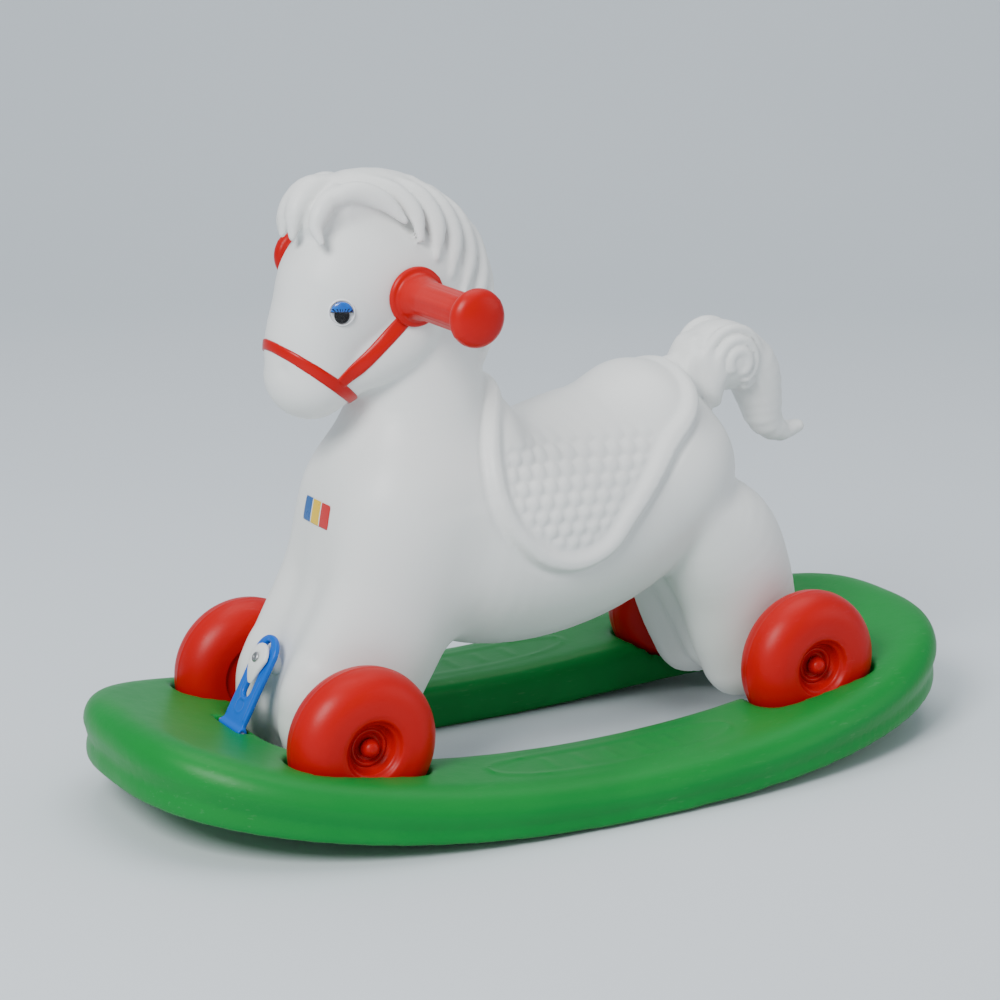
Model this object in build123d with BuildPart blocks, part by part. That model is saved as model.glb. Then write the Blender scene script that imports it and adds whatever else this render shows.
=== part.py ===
from build123d import *
import os
from math import cos, pi, radians, sin, sqrt

os.makedirs("parts", exist_ok=True)

# The horse looks along -X, +Z is up and the floor is Z = 0.  The horse's left side is -Y.
# The origin is on the floor under the middle of the rocker base.

# ------------------------------------------------------------------ driving sizes (mm)
# rocker base: one hollow moulded ring with a curved sole and a curved deck
base_length = 800.0
base_width = 404.0
base_fullness = 2.66        # power of the oval outline, where 2 is an ellipse
base_wall = 3.0
rocker_radius = 2000.0
rest_flat = 60.0            # length of the flat under the middle, where the rocker stands
deck_height = 42.0
deck_radius = 1316.0
deck_edge_round = 20.0
opening_width = 174.0
opening_fullness = 4.5

# wheels and axles
wheel_base = 444.0
wheel_radius = 64.5
wheel_width = 52.0
wheel_track = 218.0
wheel_wall = 3.0
wheel_shoulder = 25.0
wheel_dish_radius = 25.0
wheel_dish_depth = 16.0
wheel_floor_gap = 0.4       # wheel to the floor of its well
well_side_gap = 4.0
well_end_gap = 4.0
well_floor = 2.8
axle_diameter = 10.0
running_gap = 0.05          # radial, in every turning fit
hub_wall = 4.0
washer_diameter = 20.0
washer_thickness = 1.5
end_play = 0.3
push_nut_diameter = 14.0
push_nut_thickness = 1.5
cap_diameter = 16.0
cap_length = 10.0
cap_seat = 6.0

# horse: one hollow moulding
horse_wall = 3.0
trunk_width = 188.0
leg_spread = 80.0           # between the middles of a pair of legs
leg_thickness = 72.0
leg_core_wall = 6.0
axle_height_in_horse = 80.0  # height of the axles above the horse's own zero level
axle_boss_diameter = 24.0
boss_seat_gap = 0.2
drawn_axle_x = 222.0         # axle position at which the leg sections below are drawn
leg_toe_gap = 8.0           # fore and aft, between a leg and the end of the ring's opening
tail_root_radius = 22.0

# handlebar
handle_x = -143.0
handle_height = 432.0
handle_seat = 54.5          # from the middle plane to the seat of each handle
handle_reach = 166.0
grip_diameter = 34.0
grip_wall = 4.0
flange_diameter = 50.0
flange_thickness = 4.0
knob_diameter = 48.0
knob_length = 18.0
knob_round = 7.0
handle_rod_diameter = 8.0
handle_nut_diameter = 15.0
handle_nut_thickness = 6.0
handle_boss_depth = 16.0
handle_flare = 16.0         # length of the flare between flange and grip

# eyes
eye_x = -205.0
eye_height = 423.0
eye_seat = 44.6
eye_turn = 24.0             # degrees that each eye looks forward
eye_diameter = 22.4
eye_plate = 2.0
eye_boss_diameter = 24.4
eye_boss_depth = 6.0
eye_lens_height = 5.6
eye_lens_wall = 1.0
eye_lens_round = 3.6
pupil_diameter = 12.6
pupil_thickness = 1.2
pupil_gap = 0.3
eyelid_thickness = 0.6
eyelid_gap = 0.1            # all round, inside the lens
eyelid_edge = 1.0           # height of its lower edge above the middle of the eye

# bridle and sticker, thin strips that follow the skin
strap_width = 10.0
strap_thickness = 1.6
strap_skin_gap = 0.15
sticker_width = 44.0
sticker_height = 22.0
sticker_thickness = 0.7
sticker_level = 252.5
noseband_x = -215.5
noseband_height = 367.5
cheek_strap_x = -178.0
cheek_strap_y = 45.0
cheek_strap_height = 385.0
cheek_strap_length = 50.0
sticker_lift = 0.5           # forwards, clear of the domed chest

# latch straps with their turn buttons
latch_setback = 18.0        # from the end of the opening to the hinge pin
latch_sink = 3.0            # from the deck down to the hinge pin
latch_lean = 28.0           # degrees from upright, towards the horse
latch_length = 84.0
latch_width = 34.0
latch_thickness = 4.5
latch_foot_width = 38.0
latch_foot_diameter = 9.0
latch_pin_diameter = 4.0
latch_pin_grip = 3.0
latch_slot_width = 12.0
latch_slot_low = 34.0
latch_slot_high = 72.0
latch_pocket_gap = 1.5
latch_pocket_depth = 9.0
button_along = 62.0
button_post_gap = 0.5
button_gap = 0.5
button_head = 27.0
button_tail = 26.0
button_tip = 5.0
button_thickness = 5.0
button_screw_diameter = 4.0
button_screw_head = 9.0
button_screw_head_height = 1.5
button_screw_grip = 12.0    # depth of the screw in its post

# ------------------------------------------------------------------ worked-out sizes
axle_x = wheel_base / 2


def sole_at(x):
    """Height of the curved sole, which starts at the ends of the middle flat."""
    centre = sqrt(rocker_radius**2 - (rest_flat / 2) ** 2)
    return centre - sqrt(rocker_radius**2 - x**2)


def deck_at(x):
    """Height of the curved deck."""
    return deck_height + deck_radius - sqrt(deck_radius**2 - x**2)


well_radius = wheel_radius + well_end_gap
axle_z = sole_at(axle_x) + well_floor + wheel_floor_gap + wheel_radius
well_z = axle_z - wheel_radius - wheel_floor_gap + well_radius
horse_z = axle_z - axle_height_in_horse
wheel_y = wheel_track / 2
wheel_inner = wheel_y - wheel_width / 2
wheel_outer = wheel_y + wheel_width / 2
hub_outer = wheel_outer - wheel_dish_depth
washer_seat = wheel_inner - end_play - washer_thickness - boss_seat_gap
nut_seat = hub_outer + end_play
cap_base = nut_seat + push_nut_thickness + boss_seat_gap
axle_end = cap_base + cap_seat
leg_fore = 62.0             # half length of a leg at the height of the axle
toe_fore = 54.0
opening_half = axle_x - 16.0 + toe_fore + leg_toe_gap
latch_x = opening_half + latch_setback
latch_z = deck_at(latch_x) - latch_sink


def write(piece, name):
    """Label a finished piece and write its file."""
    piece.label = name
    export_step(piece, f"parts/{name}.step")


def oval_points(half_length, half_width, fullness, count=24):
    """Points around an oval that is fuller than an ellipse."""
    points = []
    for step in range(count):
        turn = 2 * pi * step / count
        reach = (abs(cos(turn)) ** fullness + abs(sin(turn)) ** fullness) ** (-1 / fullness)
        points.append((half_length * reach * cos(turn), half_width * reach * sin(turn)))
    return points


# ------------------------------------------------------------------ rocker base
block_height = deck_at(base_length / 2) + base_wall
profile_end = base_length / 2 + deck_edge_round


def side_view(inset):
    """Side view of the base between its curved sole and its curved deck."""
    flat_end = rest_flat / 2
    middle = profile_end / 2
    with BuildSketch(Plane.XZ) as view:
        with BuildLine():
            Line((-flat_end, inset), (flat_end, inset))
            ThreePointArc(
                (flat_end, inset),
                (middle, sole_at(middle) + inset),
                (profile_end, sole_at(profile_end) + inset),
            )
            Line(
                (profile_end, sole_at(profile_end) + inset),
                (profile_end, deck_at(profile_end) - inset),
            )
            ThreePointArc(
                (profile_end, deck_at(profile_end) - inset),
                (0, deck_height - inset),
                (-profile_end, deck_at(profile_end) - inset),
            )
            Line(
                (-profile_end, deck_at(profile_end) - inset),
                (-profile_end, sole_at(profile_end) + inset),
            )
            ThreePointArc(
                (-profile_end, sole_at(profile_end) + inset),
                (-middle, sole_at(middle) + inset),
                (-flat_end, inset),
            )
        make_face()
    return view.sketch


def oval_face(half_length, half_width, fullness):
    """Flat oval on the floor plane."""
    with BuildSketch(Plane.XY) as outline:
        with BuildLine():
            Spline(*oval_points(half_length, half_width, fullness), periodic=True)
        make_face()
    return outline.sketch


def ring_block(inset):
    """Oval block between sole and deck, smaller by inset all round, with rounded edges."""
    extrude(
        oval_face(base_length / 2 - inset, base_width / 2 - inset, base_fullness),
        amount=block_height,
    )
    extrude(side_view(inset), amount=base_width, both=True, mode=Mode.INTERSECT)


def well_cuts(grow):
    """Wells for the four wheels, larger by grow all round."""
    width = wheel_width + 2 * well_side_gap + 2 * grow
    for x in (-axle_x, axle_x):
        for y in (-wheel_y, wheel_y):
            with Locations(Location((x, y, well_z), (90, 0, 0))):
                Cylinder(well_radius + grow, width, mode=Mode.SUBTRACT)


def latch_pockets(grow):
    """Pockets at both ends of the ring for the hinged feet of the latch straps."""
    length = latch_foot_diameter + 2 * latch_pocket_gap + 2 * grow
    width = latch_foot_width + 2 * latch_pocket_gap + 2 * grow
    bottom = latch_z - latch_pocket_depth - grow
    for x in (-latch_x, latch_x):
        with Locations((x, 0, bottom)):
            Box(
                length,
                width,
                block_height - bottom,
                align=(Align.CENTER, Align.CENTER, Align.MIN),
                mode=Mode.SUBTRACT,
            )


with BuildPart() as ring_hollow:
    ring_block(base_wall)
    fillet(
        ring_hollow.edges().filter_by(lambda edge: edge.center().Z > deck_height),
        deck_edge_round - base_wall,
    )
    extrude(
        oval_face(opening_half + base_wall, opening_width / 2 + base_wall, opening_fullness),
        amount=block_height,
        mode=Mode.SUBTRACT,
    )
    well_cuts(base_wall)
    latch_pockets(base_wall)

with BuildPart() as rocker_base:
    ring_block(0)
    fillet(
        rocker_base.edges().filter_by(lambda edge: edge.center().Z > deck_height),
        deck_edge_round,
    )
    extrude(
        oval_face(opening_half, opening_width / 2, opening_fullness),
        amount=block_height,
        mode=Mode.SUBTRACT,
    )
    well_cuts(0)
    latch_pockets(0)
    add(ring_hollow.part, mode=Mode.SUBTRACT)
    for x in (-latch_x, latch_x):
        with Locations(Location((x, 0, latch_z), (90, 0, 0))):
            Cylinder(
                latch_pin_diameter / 2 + running_gap,
                latch_foot_width + 2 * latch_pocket_gap + 2 * base_wall + 1,
                mode=Mode.SUBTRACT,
            )
write(rocker_base.part, "rocker_base")

# ------------------------------------------------------------------ latch pins and straps
latch_frames = {
    "front": Plane(
        (-latch_x, 0, latch_z),
        x_dir=(0, -1, 0),
        z_dir=(-cos(radians(latch_lean)), 0, sin(radians(latch_lean))),
    ),
    "rear": Plane(
        (latch_x, 0, latch_z),
        x_dir=(0, 1, 0),
        z_dir=(cos(radians(latch_lean)), 0, sin(radians(latch_lean))),
    ),
}
# In each frame Y runs up along the strap from the hinge pin and Z leaves the strap's face.

for end, frame in latch_frames.items():
    hinge = Location((frame.origin.X, 0, latch_z), (90, 0, 0))
    with BuildPart() as latch_pin:
        with Locations(hinge):
            Cylinder(
                latch_pin_diameter / 2,
                latch_foot_width + 2 * latch_pocket_gap + 2 * latch_pin_grip,
            )
    write(latch_pin.part, f"{end}_latch_pin")

    with BuildPart() as latch:
        with BuildSketch(frame.offset(-latch_thickness / 2)):
            with Locations((0, latch_length / 2 - latch_width / 4)):
                Rectangle(latch_width, latch_length - latch_width / 2)
            with Locations((0, latch_length - latch_width / 2)):
                Circle(latch_width / 2)
            with Locations((0, (latch_slot_low + latch_slot_high) / 2)):
                SlotCenterToCenter(
                    latch_slot_high - latch_slot_low,
                    latch_slot_width,
                    rotation=90,
                    mode=Mode.SUBTRACT,
                )
        extrude(amount=latch_thickness)
        with Locations(hinge):
            Cylinder(latch_foot_diameter / 2, latch_foot_width)
            Cylinder(
                latch_pin_diameter / 2 + running_gap, latch_foot_width, mode=Mode.SUBTRACT
            )
    write(latch.part, f"{end}_latch")

# ------------------------------------------------------------------ turn buttons and screws
post_end = latch_thickness / 2 + button_post_gap
button_base = post_end + button_gap
button_end = button_base + button_thickness
post_diameter = latch_slot_width - 2 * button_post_gap

for end, frame in latch_frames.items():
    with BuildPart() as turn_button:
        with BuildSketch(frame.offset(button_base)):
            with Locations((0, button_along)):
                Circle(button_head / 2)
            with Locations((0, button_along - button_tail)):
                Circle(button_tip / 2)
            make_hull()
            with Locations((0, button_along)):
                Circle(button_screw_diameter / 2 + running_gap, mode=Mode.SUBTRACT)
        extrude(amount=button_thickness)
    write(turn_button.part, f"{end}_turn_button")

    with BuildPart() as button_screw:
        with BuildSketch(frame.offset(button_end + button_gap)):
            with Locations((0, button_along)):
                Circle(button_screw_head / 2)
        extrude(amount=button_screw_head_height)
        with BuildSketch(frame.offset(post_end - button_screw_grip)):
            with Locations((0, button_along)):
                Circle(button_screw_diameter / 2)
        extrude(amount=button_end + button_gap - post_end + button_screw_grip)
    write(button_screw.part, f"{end}_button_screw")

# ------------------------------------------------------------------ wheels and axles
wheel_spots = {
    "front_left": (-axle_x, -1),
    "front_right": (-axle_x, 1),
    "rear_left": (axle_x, -1),
    "rear_right": (axle_x, 1),
}


def wheel_profile(frame, inset):
    """Half section of a wheel: X is the radius and Y the distance along the axle."""
    half = wheel_width / 2
    bore = axle_diameter / 2 + running_gap if inset == 0 else axle_diameter / 2 + hub_wall
    shoulder = wheel_radius - wheel_shoulder
    bend = (wheel_shoulder - inset) * cos(pi / 4)
    tread = wheel_shoulder - inset
    outer_face = half - inset
    dish = half - wheel_dish_depth - inset
    dish_rim = wheel_dish_radius + inset
    crown = half - wheel_shoulder
    with BuildSketch(frame) as section:
        with BuildLine():
            Line((bore, -outer_face), (shoulder, -outer_face))
            ThreePointArc(
                (shoulder, -outer_face),
                (shoulder + bend, -crown - bend),
                (shoulder + tread, -crown),
            )
            Line((shoulder + tread, -crown), (shoulder + tread, crown))
            ThreePointArc(
                (shoulder + tread, crown),
                (shoulder + bend, crown + bend),
                (shoulder, outer_face),
            )
            Line((shoulder, outer_face), (dish_rim, outer_face))
            Line((dish_rim, outer_face), (dish_rim, dish))
            Line((dish_rim, dish), (bore, dish))
            Line((bore, dish), (bore, -outer_face))
        make_face()
    return section.sketch


for name, (x, side) in wheel_spots.items():
    spot = Plane((x, side * wheel_y, axle_z), x_dir=(side, 0, 0), z_dir=(0, 0, 1))
    axis = Axis((x, side * wheel_y, axle_z), (0, 1, 0))
    with BuildPart() as wheel:
        revolve(wheel_profile(spot, 0), axis=axis)
        revolve(wheel_profile(spot, wheel_wall), axis=axis, mode=Mode.SUBTRACT)
    write(wheel.part, f"{name}_wheel")

for end, x in (("front", -axle_x), ("rear", axle_x)):
    with BuildPart() as axle:
        with Locations(Location((x, 0, axle_z), (90, 0, 0))):
            Cylinder(axle_diameter / 2, 2 * axle_end)
    write(axle.part, f"{end}_axle")


def across(x, side, near, length, diameter, bore, mode=Mode.ADD):
    """Disc or tube on an axle line, from near outwards."""
    frame = Plane((x, side * near, axle_z), x_dir=(1, 0, 0), z_dir=(0, side, 0))
    with BuildSketch(frame) as ring:
        Circle(diameter / 2)
        if bore:
            Circle(bore / 2, mode=Mode.SUBTRACT)
    extrude(ring.sketch, amount=length, mode=mode)


shaft_bore = axle_diameter + 2 * running_gap

with BuildPart() as wheel_washers:
    for x, side in wheel_spots.values():
        across(x, side, washer_seat, washer_thickness, washer_diameter, shaft_bore)
write(wheel_washers.part, "wheel_washers")

with BuildPart() as axle_push_nuts:
    for x, side in wheel_spots.values():
        across(x, side, nut_seat, push_nut_thickness, push_nut_diameter, shaft_bore)
write(axle_push_nuts.part, "axle_push_nuts")

with BuildPart() as axle_caps:
    for x, side in wheel_spots.values():
        across(x, side, cap_base, cap_length, cap_diameter, 0)
    fillet(
        axle_caps.faces()
        .filter_by(Axis.Y)
        .filter_by(lambda face: abs(face.center().Y) > cap_base + cap_length / 2)
        .edges(),
        cap_diameter / 2 - 2,
    )
    for x, side in wheel_spots.values():
        across(x, side, cap_base, cap_seat + running_gap, shaft_bore, 0, Mode.SUBTRACT)
write(axle_caps.part, "axle_caps")

# ------------------------------------------------------------------ horse moulding
# A form is a list of oval sections (x, height, lean, fore, side).  Lean 0 is a level section
# and 90 an upright one across the horse; fore and side are the half sizes of the oval.
trunk_side = trunk_width / 2
leg_side = leg_thickness / 2
leg_y = leg_spread / 2

trunk = [
    (-206, 240, 90, 26, 22),
    (-194, 240, 90, 50, 42),
    (-172, 238, 90, 70, 60),
    (-136, 232, 90, 85, 76),
    (-90, 219, 90, 95, trunk_side - 8),
    (-40, 211, 90, 100, trunk_side - 2),
    (10, 213, 90, 100, trunk_side),
    (60, 227, 90, 101, trunk_side),
    (105, 240, 90, 97, trunk_side - 3),
    (145, 235, 90, 84, trunk_side - 14),
    (176, 230, 90, 56, 58),
    (193, 229, 90, 28, 30),
]
neck = [
    (-108, 235, 0, 68, 68),
    (-110, 270, 0, 68, 69),
    (-112, 300, 0, 63, 62),
    (-112, 345, 0, 59, 55),
    (-114, 390, 0, 57, 49),
    (-118, 430, 0, 54, 46),
    (-120, 455, 0, 46, 38),
]
head = [
    (-219, 328, 0, 14, 15),
    (-217, 336, 0, 26, 28),
    (-212, 351, 0, 38, 38),
    (-192, 377, 0, 58, 45),
    (-170, 405, 0, 73, 51),
    (-157, 435, 0, 80, 54),
    (-156, 465, 0, 78, 52),
    (-157, 492, 0, 63, 44),
    (-159, 510, 0, 44, 32),
    (-160, 520, 0, 26, 19),
]
mane = [
    (-216, 488, 60, 12, 12),
    (-206, 497, 70, 19, 21),
    (-188, 503, 85, 24, 26),
    (-160, 504, 95, 27, 29),
    (-122, 491, 115, 30, 31),
    (-94, 462, 140, 32, 33),
    (-82, 420, 172, 31, 33),
    (-82, 378, 184, 28, 30),
    (-86, 352, 190, 20, 22),
]
front_leg = [
    (-130, 252, 0, 42, leg_side - 4),
    (-149, 205, 0, 57, leg_side + 1),
    (-165, 161, 0, 62, leg_side + 1),
    (-188, 114, 0, leg_fore, leg_side + 1),
    (-202, 85, 0, leg_fore, leg_side),
    (-206, 64, 0, toe_fore, leg_side - 4),
    (-206, 51, 0, 38, 24),
]
front_web = [
    (-140, 240, 0, 56, 40),
    (-165, 161, 0, 57, 36),
    (-187, 114, 0, 54, 34),
    (-200, 85, 0, 52, 32),
    (-204, 66, 0, 42, 26),
    (-205, 56, 0, 26, 16),
]
rear_leg = [
    (142, 210, 0, 52, leg_side + 1),
    (163, 174, 0, 56, leg_side + 1),
    (188, 137, 0, 55, leg_side + 1),
    (200, 103, 0, 54, leg_side + 1),
    (207, 74, 0, 49, leg_side - 1),
    (208, 51, 0, 36, 24),
]
rear_web = [
    (136, 240, 0, 46, 40),
    (163, 178, 0, 50, 38),
    (186, 137, 0, 48, 34),
    (198, 103, 0, 46, 32),
    (204, 80, 0, 42, 30),
    (206, 66, 0, 36, 26),
    (206, 56, 0, 24, 16),
]
tail = [
    (128, 292, 40, tail_root_radius - 4, tail_root_radius - 4),
    (150, 317, 45, tail_root_radius, tail_root_radius),
    (172, 334, 64, tail_root_radius + 3, tail_root_radius + 3),
    (200, 341, 100, 27, 28),
    (226, 326, 140, 26, 28),
    (238, 297, 172, 21, 24),
    (245, 272, 152, 15, 18),
    (262, 259, 108, 10, 12),
    (284, 261, 82, 6, 7),
]

# Each leg has a plain tapered core as its hollow.
front_core = [
    (-160, 190, 0, 46, leg_side - leg_core_wall),
    (-203, 62, 0, 44, leg_side - leg_core_wall - 2),
]
rear_core = [
    (160, 190, 0, 42, leg_side - leg_core_wall),
    (206, 62, 0, 38, leg_side - leg_core_wall - 2),
]

# Legs and their webs stand on the axles, so a change of wheel base carries them along.
leg_shift = axle_x - drawn_axle_x


def form(sections, grow=0.0, y=0.0, shift=0.0, mode=Mode.ADD):
    """Loft a closed form through its sections, grown or shrunk all round by grow."""
    ovals = []
    last = len(sections) - 1
    for index, (x, height, lean, fore, side) in enumerate(sections):
        tilt = radians(lean)
        along = Vector(sin(tilt), 0, cos(tilt))
        middle = Vector(x + shift, y, height + horse_z)
        if index == 0:
            middle = middle - along * grow
        if index == last:
            middle = middle + along * grow
        with BuildSketch(Plane(middle, x_dir=(cos(tilt), 0, -sin(tilt)), z_dir=along)) as oval:
            Ellipse(fore + grow, side + grow)
        ovals.append(oval.sketch.face())
    return loft(sections=ovals, mode=mode)


def legs(front, rear):
    """All four legs, or the cores of all four legs."""
    for y in (-leg_y, leg_y):
        form(front, 0, y, -leg_shift)
        form(rear, 0, y, leg_shift)


def handle_frame(side, near):
    """Frame on the handlebar line, facing outwards on one side."""
    return Plane(
        (handle_x, side * near, handle_height + horse_z), x_dir=(1, 0, 0), z_dir=(0, side, 0)
    )


def eye_frame(side):
    """Frame on the seat of one eye, facing outwards with Y up."""
    turn = radians(eye_turn)
    return Plane(
        (eye_x, side * eye_seat, eye_height + horse_z),
        x_dir=(-side * cos(turn), -sin(turn), 0),
        z_dir=(-sin(turn), side * cos(turn), 0),
    )


def pad(frame, diameter, length, mode=Mode.ADD):
    """Round pad or hole on a frame."""
    with BuildSketch(frame) as disc:
        Circle(diameter / 2)
    extrude(disc.sketch, amount=length, mode=mode)


with BuildPart() as horse_hollow:
    for sections in (trunk, neck, head, mane):
        form(sections, -horse_wall)
    legs(front_core, rear_core)

rod_bore = handle_rod_diameter + 2 * running_gap
post_root = 20.0
boss_end = washer_seat - boss_seat_gap
handle_boss = flange_diameter - 6
with BuildPart() as horse_body:
    for sections in (trunk, neck, head, mane, tail):
        form(sections)
    form(front_web, 0, 0, -leg_shift)
    form(rear_web, 0, 0, leg_shift)
    legs(front_leg, rear_leg)
    add(horse_hollow.part, mode=Mode.SUBTRACT)
    for x in (-axle_x, axle_x):
        frame = Plane((x, -boss_end, axle_z), x_dir=(1, 0, 0), z_dir=(0, 1, 0))
        pad(frame, axle_boss_diameter, 2 * boss_end)
        pad(frame, shaft_bore, 2 * boss_end, Mode.SUBTRACT)
    for frame in latch_frames.values():
        post = Plane(
            frame.origin + frame.y_dir * button_along - frame.z_dir * post_root,
            x_dir=frame.x_dir,
            z_dir=frame.z_dir,
        )
        pad(post, post_diameter, post_root + post_end)
        pad(
            post.offset(post_root + post_end - button_screw_grip),
            button_screw_diameter,
            button_screw_grip,
            Mode.SUBTRACT,
        )
    for side in (-1, 1):
        boss = handle_frame(side, handle_seat - handle_boss_depth)
        pad(boss, handle_boss, handle_boss_depth)
        pad(boss, rod_bore, handle_boss_depth, Mode.SUBTRACT)
        pad(eye_frame(side).offset(-eye_boss_depth), eye_boss_diameter, eye_boss_depth)
write(horse_body.part, "horse_body")

# ------------------------------------------------------------------ handlebar
for name, side in (("left", -1), ("right", 1)):
    start = handle_seat + boss_seat_gap
    flare_end = start + flange_thickness + handle_flare
    knob_start = handle_reach - knob_length
    axis = Axis((handle_x, 0, handle_height + horse_z), (0, 1, 0))
    base = handle_frame(side, 0)
    section_plane = Plane(base.origin, x_dir=(1, 0, 0), z_dir=(0, 0, side))
    with BuildPart() as handle:
        with BuildSketch(section_plane):
            with BuildLine():
                Line((0, start), (flange_diameter / 2, start))
                Line(
                    (flange_diameter / 2, start),
                    (flange_diameter / 2, start + flange_thickness),
                )
                Line(
                    (flange_diameter / 2, start + flange_thickness),
                    (grip_diameter / 2 + 4, start + flange_thickness + 2),
                )
                Line(
                    (grip_diameter / 2 + 4, start + flange_thickness + 2),
                    (grip_diameter / 2, flare_end),
                )
                Line((grip_diameter / 2, flare_end), (grip_diameter / 2, knob_start))
                Line((grip_diameter / 2, knob_start), (knob_diameter / 2, knob_start + 2))
                Line((knob_diameter / 2, knob_start + 2), (knob_diameter / 2, handle_reach))
                Line((knob_diameter / 2, handle_reach), (0, handle_reach))
                Line((0, handle_reach), (0, start))
            make_face()
        revolve(axis=axis)
        knob_rim = (
            handle.edges()
            .filter_by(GeomType.CIRCLE)
            .filter_by(lambda edge: edge.radius > knob_diameter / 2 - 1)
            .filter_by(lambda edge: abs(edge.arc_center.Y) > knob_start)
        )
        fillet(knob_rim, knob_round)
        with BuildSketch(base.offset(start)):
            Circle(rod_bore / 2)
        extrude(amount=knob_start - start, mode=Mode.SUBTRACT)
        with BuildSketch(base.offset(start + flange_thickness)):
            Circle(grip_diameter / 2 - grip_wall)
        extrude(amount=knob_start - start - flange_thickness - grip_wall, mode=Mode.SUBTRACT)
    write(handle.part, f"{name}_handle")

rod_end = handle_reach - knob_length - boss_seat_gap
with BuildPart() as handle_rod:
    pad(handle_frame(-1, -rod_end), handle_rod_diameter, 2 * rod_end)
write(handle_rod.part, "handle_rod")

with BuildPart() as handle_nuts:
    for side in (-1, 1):
        inner = handle_frame(side, handle_seat - handle_boss_depth - boss_seat_gap - handle_nut_thickness)
        with BuildSketch(inner) as nut:
            RegularPolygon(handle_nut_diameter / 2, 6)
            Circle(rod_bore / 2, mode=Mode.SUBTRACT)
        extrude(nut.sketch, amount=handle_nut_thickness)
write(handle_nuts.part, "handle_nuts")

# ------------------------------------------------------------------ eyes
lens_radius = eye_diameter / 2 - 1
pocket_radius = lens_radius - eye_lens_wall
pupil_drop = pocket_radius - pupil_diameter / 2 - pupil_gap
lens_depth = pupil_thickness + 2 * pupil_gap + eyelid_thickness + eyelid_gap
for name, side in (("left", -1), ("right", 1)):
    seat = eye_frame(side)
    with BuildPart() as eye_back:
        pad(seat.offset(boss_seat_gap), eye_diameter, eye_plate)
    write(eye_back.part, f"{name}_eye_back")

    plate_face = boss_seat_gap + eye_plate
    with BuildPart() as eye_lens:
        pad(seat.offset(plate_face), 2 * lens_radius, eye_lens_height)
        outer_face = (
            eye_lens.faces()
            .filter_by(GeomType.PLANE)
            .sort_by(lambda face: abs(face.center().Y))
            .last
        )
        fillet(outer_face.edges(), eye_lens_round)
        pad(
            seat.offset(plate_face),
            2 * pocket_radius,
            lens_depth,
            Mode.SUBTRACT,
        )
    write(eye_lens.part, f"{name}_eye_lens")

    with BuildPart() as pupil:
        frame = seat.offset(plate_face + pupil_gap)
        with BuildSketch(frame):
            with Locations((0, -pupil_drop)):
                Circle(pupil_diameter / 2)
        extrude(amount=pupil_thickness)
    write(pupil.part, f"{name}_pupil")

    with BuildPart() as eyelid:
        with BuildSketch(seat.offset(plate_face + pupil_thickness + 2 * pupil_gap)):
            Circle(pocket_radius - eyelid_gap)
            with Locations((0, eyelid_edge - eye_diameter / 2)):
                Rectangle(2 * eye_diameter, eye_diameter, mode=Mode.SUBTRACT)
        extrude(amount=eyelid_thickness)
    write(eyelid.part, f"{name}_eyelid")

# ------------------------------------------------------------------ bridle and sticker


def strip(sections, frame, length, width, depth, thickness, lift=0.0):
    """Thin strip of a form's skin inside a box on a frame."""
    form(sections, strap_skin_gap + thickness, shift=-lift)
    form(sections, strap_skin_gap, shift=-lift, mode=Mode.SUBTRACT)
    with Locations(frame):
        Box(length, depth, width, mode=Mode.INTERSECT)


nose_frame = Plane(
    (noseband_x, 0, noseband_height + horse_z), x_dir=(-0.807, 0, 0.59), z_dir=(0.59, 0, 0.807)
)
with BuildPart() as noseband:
    strip(head, nose_frame, 160, strap_width, 160, strap_thickness)
write(noseband.part, "noseband")

for name, side in (("left", -1), ("right", 1)):
    cheek_frame = Plane(
        (cheek_strap_x, side * cheek_strap_y, cheek_strap_height + horse_z),
        x_dir=(0.7, 0, 0.714),
        z_dir=(0.714, 0, -0.7),
    )
    with BuildPart() as cheek_strap:
        strip(
            head,
            cheek_frame,
            cheek_strap_length,
            strap_width,
            cheek_strap_length,
            strap_thickness,
        )
    write(cheek_strap.part, f"{name}_cheek_strap")

with BuildPart() as chest_sticker:
    sticker_frame = Plane((-200, 0, sticker_level + horse_z))
    strip(
        trunk,
        sticker_frame,
        50,
        sticker_height,
        sticker_width,
        sticker_thickness,
        sticker_lift,
    )
write(chest_sticker.part, "chest_sticker")
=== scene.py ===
"""Looks of a toddler's rocking and roll-along horse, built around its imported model.

All lengths are in metres. The horse looks along -X, its left side is -Y and +Z is up.
"""

from __future__ import annotations

import logging
import math
from dataclasses import dataclass
from enum import Enum
from typing import Any, Callable, Sequence

import bpy
import numpy as np
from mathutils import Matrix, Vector


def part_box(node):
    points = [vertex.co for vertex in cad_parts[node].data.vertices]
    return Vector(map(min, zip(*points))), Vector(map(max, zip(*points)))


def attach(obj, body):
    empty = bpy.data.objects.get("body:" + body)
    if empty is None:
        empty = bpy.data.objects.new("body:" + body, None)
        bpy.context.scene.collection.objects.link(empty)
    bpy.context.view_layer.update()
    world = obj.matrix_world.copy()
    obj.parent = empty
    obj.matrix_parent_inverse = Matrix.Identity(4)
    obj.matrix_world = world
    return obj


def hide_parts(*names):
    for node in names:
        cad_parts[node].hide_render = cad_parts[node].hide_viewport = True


LOG = logging.getLogger("horse")
MM = 0.001
SIDES = {"left": -1.0, "right": 1.0}
ENDS = {"front": -1.0, "rear": 1.0}
WHEELS = ("front_left", "front_right", "rear_left", "rear_right")
LATCH_LEAN = 28.0  # degrees by which a closed strap leans towards the horse
BUTTON_ALONG = 62.0  # millimetres up the strap from its hinge pin

Array = np.ndarray
Station = tuple[float, float, float, float, float]
Outline = list[tuple[float, float]]
Link = Any


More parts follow.
